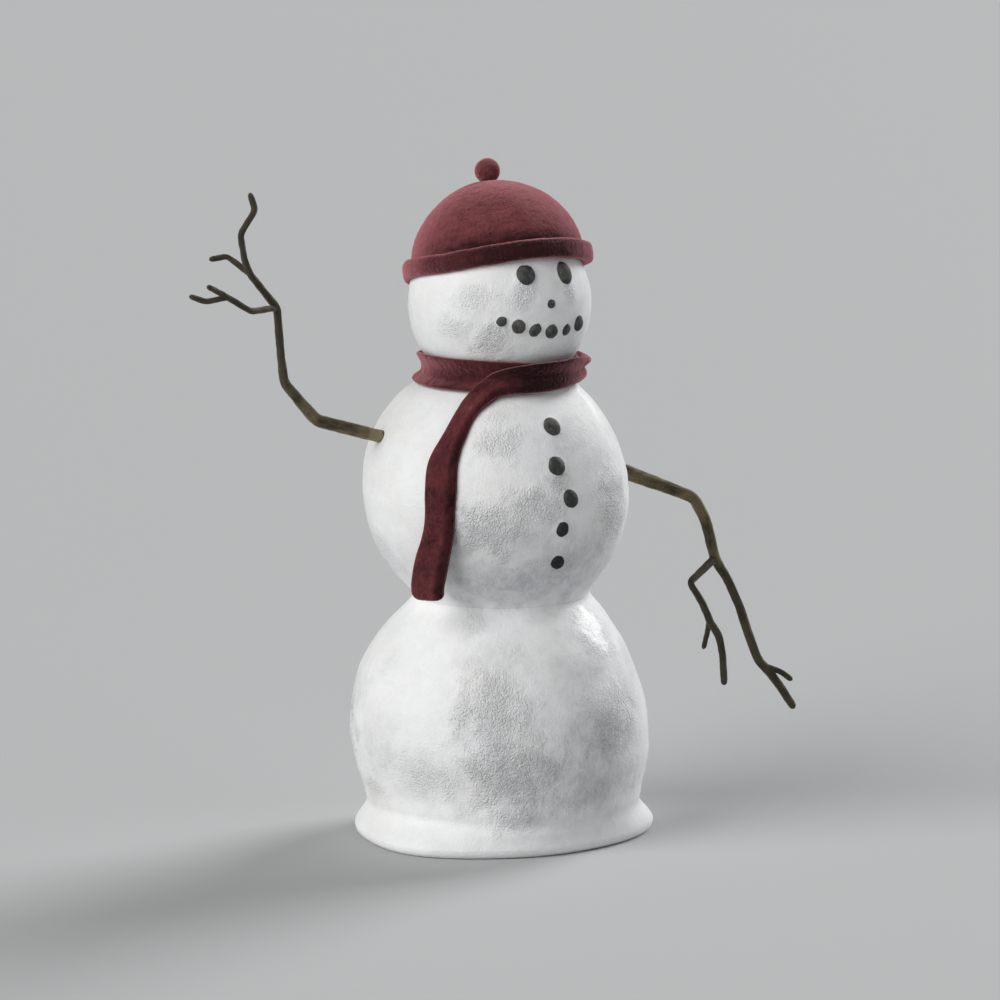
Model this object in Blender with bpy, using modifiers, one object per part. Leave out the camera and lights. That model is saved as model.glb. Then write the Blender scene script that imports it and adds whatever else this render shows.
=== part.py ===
"""A garden snowman, about 1.5 m tall to the bobble of its hat.

Three balls of packed snow, a face and buttons of coal pebbles, a wool hat and scarf, and two branched sticks
for arms. Metres, +Z up. The origin is the middle of the foot, on the ground, and the snowman faces -Y, so
its right side is -X. An azimuth is in degrees about Z: 0 looks along -Y and positive turns towards +X.
"""
import math

import bmesh
import bpy
from mathutils import Matrix, Vector

GAP = 0.0003            # clearance between pieces that touch
MERGE = 0.00001         # merge distance of every modifier that merges
ROUND_STEPS = 36        # facets round a snow ball
SHARP_DEGREES = 40      # edges sharper than this are shaded sharp

# ---- snow: three balls on one slightly wandering centre line
HEAD_HEIGHT = 1.167
HEAD_RADIUS = 0.2005
MIDDLE_HEIGHT = 0.759
MIDDLE_RADIUS = 0.2918
BOTTOM_HEIGHT = 0.226
BOTTOM_RADIUS = 0.328
BOTTOM_RISE = 0.355     # the lower ball's half height above its widest ring
BOTTOM_DROP = 0.334     # and below it
WAIST_HEIGHT = 0.527    # flat joint of lower and middle ball
WAIST_FILLET = 0.0205
NECK_HEIGHT = 1.022     # flat joint of middle ball and head
NECK_FILLET = 0.006
# (height, sideways drift) of the centre line; the drift runs along DRIFT_AZIMUTH
CENTRE_LINE = ((0.00, 0.001), (0.08, 0.001), (0.16, -0.002), (0.24, -0.007), (0.37, -0.012),
               (0.44, -0.0085), (0.51, -0.001), (0.545, -0.005), (0.59, -0.010), (0.70, -0.0115),
               (0.78, -0.016), (0.85, -0.0195), (0.97, -0.0203), (1.04, -0.006), (1.40, -0.006))
DRIFT_AZIMUTH = 58.0

# ---- foot: a lip of snow that flares out where the lower ball meets the ground
FOOT_RADIUS = 0.3290
FOOT_CONTACT_RADIUS = 0.311
FOOT_WIDEST_HEIGHT = 0.018
FOOT_TOP_HEIGHT = 0.080
FOOT_FLARE = 0.0395
FOOT_FILLET = 0.007
FOOT_BLEND_END = 0.12   # above this height the lip no longer shows in the ball's side
# (azimuth, half width in degrees, how far the lip bulges out)
FOOT_LOBES = ((-66.0, 24.0, 0.030), (14.0, 34.0, -0.023), (62.0, 16.0, 0.004), (118.0, 45.0, 0.010),
              (-150.0, 35.0, -0.008))
# heights of the rings that follow the lip, from its top down, and of those beside the waist's joint
# at the front the ball runs down into the lip more softly: (azimuth, half width in degrees, fillet)
FOOT_SOFT = (-30.0, 62.0, 0.020)
FOOT_SOFT_START = 0.018  # heights over which that softness comes in ...
FOOT_SOFT_FULL = 0.055
FOOT_SOFT_FADE = 0.095   # ... and goes again
FOOT_SOFT_END = 0.190
FOOT_RINGS = (0.066, 0.055, 0.044, 0.032, FOOT_WIDEST_HEIGHT, 0.009, 0.003, 0.0)
WAIST_RINGS_BELOW = (WAIST_HEIGHT, 0.512)
WAIST_RINGS_ABOVE = (0.562, 0.545, WAIST_HEIGHT + GAP)
RING_DEGREES = 11       # between the rings of the lower and middle ball
HEAD_RING_DEGREES = 12
RING_CLEAR = 0.006      # least height between a ball's ring and a joint's

# ---- coal: (name, azimuth, height, half length, half width, roll of the length from level)
FACE_COAL = (
    ("eye_right", -13.9, 1.2507, 0.0226, 0.0208, 98.0),
    ("eye_left", 17.6, 1.2481, 0.0256, 0.0203, 85.0),
    ("nose", 2.0, 1.1868, 0.0102, 0.0095, 24.0),
    ("mouth_1", -30.7, 1.1533, 0.0117, 0.0105, 29.0),
    ("mouth_2", -20.0, 1.1412, 0.0161, 0.0154, 104.0),
    ("mouth_3", -9.1, 1.1318, 0.0157, 0.0129, 47.0),
    ("mouth_4", 2.8, 1.1263, 0.0160, 0.0156, 96.0),
    ("mouth_5", 15.1, 1.1260, 0.0132, 0.0112, 59.0),
    ("mouth_6", 27.1, 1.1356, 0.0180, 0.0151, 89.0),
)
BUTTON_COAL = (
    ("button_1", -0.1, 0.9259, 0.0216, 0.0200, 90.0),
    ("button_2", -2.7, 0.8463, 0.0212, 0.0197, 100.0),
    ("button_3", 2.0, 0.7749, 0.0209, 0.0176, 118.0),
    ("button_4", -2.7, 0.7092, 0.0170, 0.0147, 83.0),
    ("button_5", -2.7, 0.6340, 0.0175, 0.0155, 131.0),
)
COAL_DEPTH = 0.62       # half depth of a pebble as a share of its half width
COAL_SINK = 0.12        # how far its middle lies under the snow, as a share of its half depth
COAL_SIDES = 10
COAL_RINGS = 6

# ---- hat: turned about an axis through the head, tipped back and a little to the left
HAT_TIP_BACK = 15.0
HAT_TIP_SIDE = 1.6
HAT_SHIFT = 0.0065      # the hat sits this far off the head's middle, along DRIFT_AZIMUTH
HAT_STEPS = 28
BOBBLE_STEPS = 12
CROWN_RINGS = 8
CROWN_INNER_RINGS = 6
BRIM_RINGS = 8
BOBBLE_RINGS = 7
CROWN_RADIUS = 0.189
CROWN_APEX = 0.2675     # above the head's centre, along the hat's axis
CROWN_FOOT = 0.092      # lowest edge of the crown
CROWN_SHOULDER = 0.092  # where the dome starts to curve in
CROWN_POWER = 1.95      # 2 is a plain ellipse, more is squarer
CROWN_WALL = 0.013
BRIM_RADIUS = 0.2085
BRIM_MIDDLE = 0.0867
BRIM_HALF_HEIGHT = 0.0218
BRIM_POWER = 3.2
BRIM_INNER = 0.1645     # the brim's hidden inner edge, which the head cuts to its own shape
BOBBLE_RADIUS = 0.0285
BOBBLE_MIDDLE = 0.2898

# ---- scarf: one strip, a turn and a quarter round the neck, then down the front as a tail
SCARF_NECK_THICK = 0.010
SCARF_TAIL_THICK = 0.013
SCARF_CLEAR = 0.0012    # gap to the snow and between its own layers, which facets eat into
SCARF_PINCH_RADIUS = 0.163
SCARF_NECK_BLEND = 0.003  # rounding where the strip turns from ball to neck to head
SCARF_UNDER_NECK = 0.97   # below this height only the ball shapes the strip
SCARF_HEM_FLARE = 0.007
SCARF_STEP = 12.0       # most degrees from one section to the next
SCARF_RAMP = 42.0       # the strip climbs over its own end in this many degrees
SCARF_OFF_NECK = 0.992  # below this height the tail leaves the first layer ...
SCARF_ON_BALL = 0.935   # ... and from here down it lies on the ball
SCARF_HANG_OUT = 0.006  # how far the free end stands off the ball's widest ring ...
SCARF_HANG_DROP = 0.16  # ... this far below it
SCARF_LAST_RAMP = 3.0   # degrees before the full turn by which the strip is on top
# the strip's two edges from its hidden end, once round the neck, over itself and down the front, with azimuths
# that run on past a full turn: (upper or outer azimuth, height, lower or inner azimuth, height)
SCARF_EDGES = (
    (75.0, 1.0490, 75.0, 1.0130), (35.0, 1.0500, 35.0, 1.0130), (0.0, 1.0540, 0.0, 1.0120),
    (-30.0, 1.0620, -30.0, 1.0030), (-48.0, 1.0645, -46.0, 0.9995), (-90.0, 1.0655, -90.0, 1.0000),
    (-122.0, 1.0600, -122.0, 1.0010), (-150.0, 1.0530, -150.0, 1.0000), (-190.0, 1.0500, -190.0, 0.9990),
    (-270.0, 1.0490, -270.0, 0.9990), (-311.0, 1.0540, -311.0, 1.0015), (-323.0, 1.0580, -323.0, 1.0018),
    (-335.0, 1.0605, -334.0, 1.0000), (-344.0, 1.0592, -343.0, 0.9980), (-359.0, 1.0588, -358.0, 0.9958),
    (-374.0, 1.0555, -371.5, 0.9955), (-385.5, 1.0500, -382.0, 0.9957), (-396.5, 1.0385, -389.0, 0.9925),
    (-401.0, 1.0285, -391.7, 0.9867), (-404.5, 1.0170, -394.5, 0.9790), (-408.7, 0.9950, -399.0, 0.9655),
    (-411.7, 0.9680, -402.3, 0.9475), (-414.7, 0.9350, -404.7, 0.9213), (-418.3, 0.8950, -406.9, 0.8890),
    (-420.4, 0.8720, -407.6, 0.8700), (-421.5, 0.8480, -408.0, 0.8500), (-422.0, 0.7980, -408.3, 0.8010),
    (-422.2, 0.7480, -409.3, 0.7510), (-424.2, 0.6930, -410.6, 0.6950), (-427.1, 0.6480, -412.2, 0.6500),
    (-428.8, 0.6080, -413.7, 0.6120), (-429.5, 0.5690, -415.0, 0.5715), (-427.5, 0.5552, -417.3, 0.5572),
)
# the strip's section: (share of its half width, share of its thickness from the middle)
SCARF_SECTION = ((-0.93, 0.42), (-0.45, 0.50), (0.0, 0.50), (0.45, 0.50), (0.93, 0.42), (1.0, 0.0),
                 (0.93, -0.42), (0.45, -0.50), (0.0, -0.50), (-0.45, -0.50), (-0.93, -0.42), (-1.0, 0.0))

# ---- sticks: bends from the buried end to the tip, as (x, y, z, diameter)
RIGHT_STEM = ((-0.170, 0.060, 0.858, 0.026), (-0.268, 0.060, 0.885, 0.029),
              (-0.350, 0.060, 0.910, 0.0285), (-0.435, 0.060, 0.935, 0.027),
              (-0.524, 0.045, 1.027, 0.0205), (-0.534, 0.040, 1.088, 0.0170),
              (-0.555, 0.020, 1.194, 0.0170), (-0.633, 0.000, 1.275, 0.0150),
              (-0.652, -0.010, 1.310, 0.0140), (-0.664, -0.015, 1.363, 0.0135),
              (-0.636, -0.030, 1.415, 0.0135), (-0.649, -0.030, 1.452, 0.013))
RIGHT_LOWER = ((-0.556, 0.020, 1.194, 0.0145), (-0.641, -0.020, 1.197, 0.0135),
               (-0.723, -0.030, 1.244, 0.0125), (-0.764, -0.050, 1.263, 0.012))
RIGHT_LOWER_TIP = ((-0.703, -0.028, 1.233, 0.012), (-0.751, -0.020, 1.226, 0.0125),
                   (-0.789, -0.015, 1.240, 0.012))
RIGHT_UPPER = ((-0.633, 0.000, 1.275, 0.0135), (-0.670, 0.030, 1.312, 0.0125), (-0.709, 0.040, 1.306, 0.012))
LEFT_STEM = ((0.165, 0.126, 0.833, 0.030), (0.258, 0.101, 0.796, 0.034), (0.374, 0.070, 0.749, 0.033),
             (0.449, 0.050, 0.718, 0.028), (0.522, 0.030, 0.687, 0.0255), (0.548, 0.020, 0.632, 0.025),
             (0.558, 0.000, 0.550, 0.023), (0.588, -0.010, 0.499, 0.0195), (0.612, -0.020, 0.439, 0.0195),
             (0.628, -0.030, 0.381, 0.0205), (0.649, -0.040, 0.317, 0.020), (0.667, -0.050, 0.296, 0.020),
             (0.699, -0.055, 0.255, 0.0185), (0.734, -0.060, 0.202, 0.018))
LEFT_SIDE = ((0.558, 0.000, 0.550, 0.019), (0.465, -0.040, 0.511, 0.015), (0.489, -0.055, 0.465, 0.016),
             (0.505, -0.065, 0.419, 0.0175), (0.524, -0.070, 0.389, 0.0165), (0.528, -0.080, 0.344, 0.016),
             (0.525, -0.090, 0.281, 0.0155))
LEFT_SIDE_TIP = ((0.503, -0.062, 0.425, 0.012), (0.505, -0.050, 0.392, 0.012),
                 (0.502, -0.040, 0.357, 0.0115))
LEFT_TIP = ((0.662, -0.048, 0.303, 0.0135), (0.695, -0.060, 0.290, 0.0135), (0.715, -0.080, 0.271, 0.0125))
TIP_ROUND = 0.55        # a stick's last end narrows to this share of its diameter ...
TIP_LENGTH = 0.35       # ... over this share of it

# name: (colour, roughness)
FINISHES = {
    "snow": ((0.86, 0.88, 0.90), 0.75),
    "coal": ((0.030, 0.030, 0.029), 0.65),
    "wood": ((0.150, 0.115, 0.070), 0.85),
    "wool": ((0.230, 0.055, 0.070), 0.95),
}


def soft_max(a, b, fillet):
    """The larger of two radii, with their crossing rounded off."""
    return (a + b) / 2 + math.hypot((a - b) / 2, fillet)


def smooth_step(value, start, end):
    """0 before start and 1 after end, with an even S between."""
    t = min(max((value - start) / (end - start), 0.0), 1.0)
    return t * t * (3 - 2 * t)


def ball_radius(height, radius, reach):
    """Radius of a ball at this height over its widest ring; it runs on below zero past the ball's end."""
    share = abs(height) / reach
    return radius * math.sqrt(1 - share * share) if share < 1 else -2 * radius * (share - 1)


def foot_radius(z):
    """Radius of the lip at the ground: a rounded edge, then an even slope up to the ball."""
    if z < FOOT_WIDEST_HEIGHT:
        share = 1 - z / FOOT_WIDEST_HEIGHT
        return FOOT_CONTACT_RADIUS + (FOOT_RADIUS - FOOT_CONTACT_RADIUS) * math.sqrt(1 - share * share)
    return FOOT_RADIUS - FOOT_FLARE * smooth_step(z, FOOT_WIDEST_HEIGHT, FOOT_TOP_HEIGHT)


def snow_radius(z, softness=0.0):
    """Radius of the stack of balls at height z, where the ball runs into the lip this much more softly."""
    reach = BOTTOM_RISE if z > BOTTOM_HEIGHT else BOTTOM_DROP
    bottom = ball_radius(z - BOTTOM_HEIGHT, BOTTOM_RADIUS, reach)
    middle = ball_radius(z - MIDDLE_HEIGHT, MIDDLE_RADIUS, MIDDLE_RADIUS)
    head = ball_radius(z - HEAD_HEIGHT, HEAD_RADIUS, HEAD_RADIUS)
    if z < FOOT_WIDEST_HEIGHT:
        return foot_radius(z)
    if z < FOOT_SOFT_END:
        lip = FOOT_FILLET * (1 - smooth_step(z, FOOT_TOP_HEIGHT, FOOT_BLEND_END)) + softness
        return soft_max(bottom, foot_radius(z), lip)
    if z < MIDDLE_HEIGHT:
        return soft_max(bottom, middle, WAIST_FILLET * smooth_step(z, FOOT_SOFT_END, BOTTOM_HEIGHT))
    return soft_max(middle, head, NECK_FILLET)


def centre_line(z):
    """The stack's centre at height z, smooth through the stations of CENTRE_LINE."""
    drift = CENTRE_LINE[-1][1]
    for (low, start), (high, end) in zip(CENTRE_LINE, CENTRE_LINE[1:]):
        if z <= high:
            drift = start + (end - start) * smooth_step(z, low, high)
            break
    return turn_to(DRIFT_AZIMUTH, drift, z)


def turn_to(azimuth, radius, z):
    """The point at this azimuth, distance from Z and height."""
    angle = math.radians(azimuth)
    return Vector((radius * math.sin(angle), -radius * math.cos(angle), z))


def centre_offset(z):
    """How far the centre line is off Z at height z."""
    return centre_line(z) * Vector((1, 1, 0))


def bell(azimuth, middle, half_width):
    """1 at this azimuth, falling off to both sides."""
    turn = (azimuth - middle + 180) % 360 - 180
    return math.exp(-((turn / half_width) ** 2))


def outline_radius(azimuth, z):
    """The snow's distance from its centre line here: the balls, the lip's lobes and its softer front."""
    fade = 1 - smooth_step(z, FOOT_WIDEST_HEIGHT, FOOT_TOP_HEIGHT)
    bulge = sum(amount * bell(azimuth, middle, half_width) for middle, half_width, amount in FOOT_LOBES)
    middle, half_width, fillet = FOOT_SOFT
    rise = smooth_step(z, FOOT_SOFT_START, FOOT_SOFT_FULL) * (1 - smooth_step(z, FOOT_SOFT_FADE, FOOT_SOFT_END))
    return snow_radius(z, fillet * bell(azimuth, middle, half_width) * rise) + fade * bulge


def on_snow(azimuth, z):
    """A point of the snow's surface."""
    return turn_to(azimuth, outline_radius(azimuth, z), z) + centre_offset(z)


def snow_normal(azimuth, z):
    """The way out of the snow at that point."""
    step = 0.004
    along = on_snow(azimuth + 1, z) - on_snow(azimuth - 1, z)
    up = on_snow(azimuth, z + step) - on_snow(azimuth, z - step)
    return along.cross(up).normalized()


# ---------------------------------------------------------------- objects, materials and modifiers

def clear_scene():
    for item in list(bpy.data.objects):
        bpy.data.objects.remove(item, do_unlink=True)


def make_collection(name):
    collection = bpy.data.collections.new(name)
    bpy.context.scene.collection.children.link(collection)
    return collection


def make_finish(name):
    colour, roughness = FINISHES[name]
    material = bpy.data.materials.new(name)
    material.use_nodes = True
    shader = material.node_tree.nodes["Principled BSDF"]
    shader.inputs["Base Color"].default_value = (*colour, 1.0)
    shader.inputs["Roughness"].default_value = roughness
    return material


def add_object(name, data, collection, finish=None, parent=None):
    item = bpy.data.objects.new(name, data)
    collection.objects.link(item)
    if finish:
        data.materials.append(finish.copy())
        data.materials[0].name = name + "_" + finish.name
    if parent:
        item.parent = parent
    return item


def as_cutter(item):
    item.hide_render = True
    item.display_type = "WIRE"
    return item


def from_bmesh(name, shape):
    mesh = bpy.data.meshes.new(name)
    shape.to_mesh(mesh)
    shape.free()
    mesh.shade_smooth()
    mesh.set_sharp_from_angle(angle=math.radians(SHARP_DEGREES))
    return mesh


def add_boolean(item, other, operation):
    modifier = item.modifiers.new(other.name, "BOOLEAN")
    modifier.operation = operation
    modifier.solver = "EXACT"
    if isinstance(other, bpy.types.Collection):
        modifier.operand_type = "COLLECTION"
        modifier.collection = other
    else:
        modifier.object = other


def settled_mesh(item):
    """The mesh that the item's modifiers or curve settings give."""
    bpy.context.view_layer.update()
    shown = item.evaluated_get(bpy.context.evaluated_depsgraph_get())
    return bpy.data.meshes.new_from_object(shown)


def profile_mesh(name, profile):
    """An open profile of (radius, height) points at +X."""
    mesh = bpy.data.meshes.new(name)
    mesh.from_pydata([(r, 0.0, z) for r, z in profile], [(i, i + 1) for i in range(len(profile) - 1)], [])
    return mesh


def add_screw(item, steps):
    screw = item.modifiers.new("turn", "SCREW")
    screw.steps = screw.render_steps = steps
    screw.use_merge_vertices = True
    screw.merge_threshold = MERGE
    screw.use_smooth_shade = True


# ---------------------------------------------------------------- snow

def ball_heights(middle, reach, low, high, step_degrees):
    """Heights of a ball's rings, evenly spaced along its curve, from high down to low."""
    count = int(180 / step_degrees)
    rings = [middle + reach * math.sin(math.radians(90 - step_degrees * i)) for i in range(1, count)]
    return [z for z in rings if low + RING_CLEAR < z < high - RING_CLEAR]


def snow_piece(name, heights, collection, finish, parent):
    """One ball: its rings turned about Z, then moved onto the centre line and the foot's lobes."""
    profile = [(0.0, heights[0])] + [(snow_radius(z), z) for z in heights] + [(0.0, heights[-1])]
    if snow_radius(heights[0]) < MERGE:
        del profile[0]
    turned = add_object(name + "_turned", profile_mesh(name, profile), collection)
    add_screw(turned, ROUND_STEPS)
    mesh = settled_mesh(turned)
    bpy.data.objects.remove(turned, do_unlink=True)
    for vertex in mesh.vertices:
        x, y, z = vertex.co
        radius = math.hypot(x, y)
        if radius > MERGE:
            azimuth = math.degrees(math.atan2(x, -y))
            vertex.co = turn_to(azimuth, radius * outline_radius(azimuth, z) / snow_radius(z), z)
        vertex.co += centre_offset(z)
    mesh.shade_smooth()
    mesh.set_sharp_from_angle(angle=math.radians(SHARP_DEGREES))
    return add_object(name, mesh, collection, finish, parent)


def make_snow(collection, finish, parent):
    """The lower, middle and head ball, each with its rings from the top down."""
    rings = ball_heights(BOTTOM_HEIGHT, BOTTOM_RISE, FOOT_RINGS[0], WAIST_RINGS_BELOW[-1], RING_DEGREES)
    heights = [*WAIST_RINGS_BELOW, *rings, *FOOT_RINGS]
    bottom = snow_piece("snow_bottom_ball", heights, collection, finish, parent)
    rings = ball_heights(MIDDLE_HEIGHT, MIDDLE_RADIUS, WAIST_RINGS_ABOVE[0], NECK_HEIGHT, RING_DEGREES)
    heights = [NECK_HEIGHT, *rings, *WAIST_RINGS_ABOVE]
    middle = snow_piece("snow_middle_ball", heights, collection, finish, parent)
    top = HEAD_HEIGHT + HEAD_RADIUS
    rings = ball_heights(HEAD_HEIGHT, HEAD_RADIUS, NECK_HEIGHT, top, HEAD_RING_DEGREES)
    heights = [top, *rings, NECK_HEIGHT + GAP]
    head = snow_piece("snow_head_ball", heights, collection, finish, parent)
    return bottom, middle, head


# ---------------------------------------------------------------- coal

def pebble_mesh(name, length, width, grow=0.0):
    """A flattened pebble, its depth along Z and its length along X."""
    shape = bmesh.new()
    bmesh.ops.create_uvsphere(shape, u_segments=COAL_SIDES, v_segments=COAL_RINGS, radius=1.0)
    sizes = (length + grow, width + grow, width * COAL_DEPTH + grow)
    bmesh.ops.scale(shape, vec=sizes, verts=shape.verts)
    return from_bmesh(name, shape)


def place_pebble(item, azimuth, z, width, roll):
    """Lay a pebble on the snow, its flat side out, its length turned by roll from level."""
    out = snow_normal(azimuth, z)
    level = Vector((0, 0, 1)).cross(out).normalized()
    length = level * math.cos(math.radians(roll)) + out.cross(level) * math.sin(math.radians(roll))
    item.rotation_mode = "QUATERNION"
    item.rotation_quaternion = rotation_to((length, out.cross(length), out))
    item.location = on_snow(azimuth, z) - out * width * COAL_DEPTH * COAL_SINK


def rotation_to(axes):
    """The rotation that takes X, Y and Z to these three axes."""
    return Matrix(axes).transposed().to_quaternion()


def make_coal(rows, ball, collection, cutters, finish, parent):
    """Pebbles pressed into one ball, each in a socket of its own shape."""
    sockets = bpy.data.collections.new(ball.name + "_sockets")
    cutters.children.link(sockets)
    for name, azimuth, z, length, width, roll in rows:
        pebble = add_object(name, pebble_mesh(name, length, width), collection, finish, parent)
        place_pebble(pebble, azimuth, z, width, roll)
        socket = add_object(name + "_socket", pebble_mesh(name + "_socket", length, width, GAP), sockets)
        place_pebble(as_cutter(socket), azimuth, z, width, roll)
    add_boolean(ball, sockets, "DIFFERENCE")
    return sockets


# ---------------------------------------------------------------- hat

def crown_height(radius, shrink=0.0):
    """Height of the dome over the hat's axis at this radius, for the dome made smaller by shrink."""
    share = min(radius / (CROWN_RADIUS - shrink), 1.0)
    rise = CROWN_APEX - CROWN_SHOULDER - shrink
    return CROWN_SHOULDER + rise * (1 - share ** CROWN_POWER) ** (1 / CROWN_POWER)


def crown_profile():
    """Down the outside of the dome to its edge, and back up inside."""
    outside = []
    for i in range(CROWN_RINGS + 1):
        angle = math.pi / 2 * i / CROWN_RINGS
        radius = CROWN_RADIUS * math.sin(angle)
        outside.append((radius, crown_height(radius)))
    inside = []
    for i in range(CROWN_INNER_RINGS, -1, -1):
        radius = (CROWN_RADIUS - CROWN_WALL) * math.sin(math.pi / 2 * i / CROWN_INNER_RINGS)
        inside.append((radius, crown_height(radius, CROWN_WALL)))
    outside[-1] = (CROWN_RADIUS, CROWN_FOOT)
    inside[0] = (CROWN_RADIUS - CROWN_WALL, CROWN_FOOT)
    return outside + inside


def brim_profile():
    """A rolled band: rounded outside, and inside a step that the crown's edge stands on."""
    roll = []
    depth = BRIM_RADIUS - CROWN_RADIUS - GAP
    for i in range(BRIM_RINGS + 1):
        angle = math.pi * i / BRIM_RINGS
        out = abs(math.sin(angle)) ** (2 / BRIM_POWER)
        rise = math.copysign(abs(math.cos(angle)) ** (2 / BRIM_POWER), math.cos(angle))
        roll.append((CROWN_RADIUS + GAP + depth * out, BRIM_MIDDLE + BRIM_HALF_HEIGHT * rise))
    step = CROWN_FOOT - GAP
    tuck = [(BRIM_INNER, BRIM_MIDDLE - BRIM_HALF_HEIGHT), (BRIM_INNER, step), (CROWN_RADIUS + GAP, step)]
    return roll + tuck + roll[:1]


def bobble_profile():
    """A ball whose underside follows the crown."""
    profile = []
    for i in range(BOBBLE_RINGS + 1):
        angle = math.pi * i / BOBBLE_RINGS
        radius = BOBBLE_RADIUS * math.sin(angle) if i < BOBBLE_RINGS else 0.0
        height = BOBBLE_MIDDLE + BOBBLE_RADIUS * math.cos(angle)
        profile.append((radius, max(height, crown_height(radius) + GAP)))
    return profile


def make_hat(collection, cutters, finish, parent):
    tilt = bpy.data.objects.new("hat_axis", None)
    collection.objects.link(tilt)
    tilt.parent = parent
    tilt.location = centre_line(HEAD_HEIGHT) + turn_to(DRIFT_AZIMUTH, HAT_SHIFT, 0)
    tilt.rotation_euler = (math.radians(-HAT_TIP_BACK), math.radians(HAT_TIP_SIDE), 0)
    hollow = bmesh.new()
    radius = HEAD_RADIUS / math.cos(math.pi / ROUND_STEPS) ** 2 + GAP
    bmesh.ops.create_uvsphere(hollow, u_segments=ROUND_STEPS, v_segments=ROUND_STEPS // 2, radius=radius)
    head_room = as_cutter(add_object("hat_head_room", from_bmesh("hat_head_room", hollow), cutters))
    head_room.location = centre_line(HEAD_HEIGHT)
    for name, profile in (("hat_crown", crown_profile()), ("hat_brim", brim_profile()),
                          ("hat_bobble", bobble_profile())):
        steps = HAT_STEPS if name != "hat_bobble" else BOBBLE_STEPS
        piece = add_object(name, profile_mesh(name, profile), collection, finish, tilt)
        add_screw(piece, steps)
        if name != "hat_bobble":
            add_boolean(piece, head_room, "DIFFERENCE")


# ---------------------------------------------------------------- scarf

def scarf_thickness(z):
    """Thinner round the neck, thicker down the tail."""
    share = smooth_step(z, SCARF_ON_BALL, SCARF_OFF_NECK)
    return SCARF_TAIL_THICK + (SCARF_NECK_THICK - SCARF_TAIL_THICK) * share


def scarf_radius(z):
    """Radius of the strip's middle where it lies on the snow, or hangs from the ball's widest ring."""
    stand_off = scarf_thickness(z) / 2 + SCARF_CLEAR
    reach = MIDDLE_RADIUS + stand_off
    if z < MIDDLE_HEIGHT:
        return reach + SCARF_HANG_OUT * smooth_step(MIDDLE_HEIGHT - z, 0.0, SCARF_HANG_DROP)
    flare = SCARF_HEM_FLARE * smooth_step(z, SCARF_ON_BALL, SCARF_OFF_NECK)
    ball = ball_radius(z - MIDDLE_HEIGHT, reach, reach) + flare
    if z < SCARF_UNDER_NECK:
        return ball
    head_reach = HEAD_RADIUS + stand_off
    head = ball_radius(z - HEAD_HEIGHT, head_reach, head_reach)
    return soft_max(soft_max(ball, head, SCARF_NECK_BLEND), SCARF_PINCH_RADIUS, SCARF_NECK_BLEND)


def scarf_point(azimuth, z, out):
    """A point of the strip, out from its middle surface along that surface's normal."""
    step = 0.002
    slope = (scarf_radius(z + step) - scarf_radius(z - step)) / (2 * step)
    lean = math.hypot(1, slope)
    radius = scarf_radius(z) + out / lean
    return turn_to(azimuth, radius, z - out * slope / lean) + centre_offset(z)


def scarf_stations():
    """(upper azimuth, height, lower azimuth, height) of every section, from the hidden end on."""
    stations = [SCARF_EDGES[0]]
    for near, far in zip(SCARF_EDGES, SCARF_EDGES[1:]):
        count = math.ceil((near[0] - far[0]) / SCARF_STEP) if near[0] > far[0] else 1
        for i in range(1, count + 1):
            stations.append([a + (b - a) * i / count for a, b in zip(near, far)])
    return stations


def make_scarf(collection, finish, parent):
    """A loft of one section through all stations."""
    shape = bmesh.new()
    rings = []
    for upper, top, lower, bottom in scarf_stations():
        ring = []
        for across, out in SCARF_SECTION:
            share = (across + 1) / 2
            azimuth = lower + (upper - lower) * share
            z = bottom + (top - bottom) * share
            layer = smooth_step(SCARF_EDGES[0][0] - azimuth, 360 - SCARF_RAMP, 360 - SCARF_LAST_RAMP)
            lift = (SCARF_NECK_THICK + SCARF_CLEAR) * layer * smooth_step(z, SCARF_ON_BALL, SCARF_OFF_NECK)
            ring.append(shape.verts.new(scarf_point(azimuth, z, out * scarf_thickness(z) + lift)))
        rings.append(ring)
    count = len(SCARF_SECTION)
    for near, far in zip(rings, rings[1:]):
        for i in range(count):
            j = (i + 1) % count
            shape.faces.new((near[i], near[j], far[j], far[i]))
    shape.faces.new(list(reversed(rings[0])))
    shape.faces.new(rings[-1])
    bmesh.ops.recalc_face_normals(shape, faces=shape.faces)
    add_object("scarf", from_bmesh("scarf", shape), collection, finish, parent)


# ---------------------------------------------------------------- sticks

def rounded_tip(bends):
    """The bends with one more point, so that the last end is narrowed."""
    *rest, before, last = bends
    start, end = Vector(before[:3]), Vector(last[:3])
    back = end - (end - start).normalized() * last[3] * TIP_LENGTH
    return rest + [before, (*back, last[3]), (*end, last[3] * TIP_ROUND)]


def stick_mesh(name, bends, grow=0.0):
    """A tapering tube through the bends, thicker and longer by grow."""
    points = rounded_tip(bends)
    first, second = Vector(points[0][:3]), Vector(points[1][:3])
    if grow:
        first = first + (first - second).normalized() * grow
        points[0] = (*first, points[0][3])
    curve = bpy.data.curves.new(name, "CURVE")
    curve.dimensions = "3D"
    curve.bevel_depth = 1.0
    curve.bevel_resolution = 2
    curve.use_fill_caps = True
    spline = curve.splines.new("POLY")
    spline.points.add(len(points) - 1)
    for point, (x, y, z, diameter) in zip(spline.points, points):
        point.co = (x, y, z, 1.0)
        point.radius = diameter / 2 + grow
    holder = bpy.data.objects.new(name, curve)
    bpy.context.scene.collection.objects.link(holder)
    shape = bmesh.new()
    shape.from_mesh(settled_mesh(holder))
    bpy.data.objects.remove(holder, do_unlink=True)
    bmesh.ops.remove_doubles(shape, verts=shape.verts, dist=MERGE)
    bmesh.ops.recalc_face_normals(shape, faces=shape.faces)
    return from_bmesh(name, shape)


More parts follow.
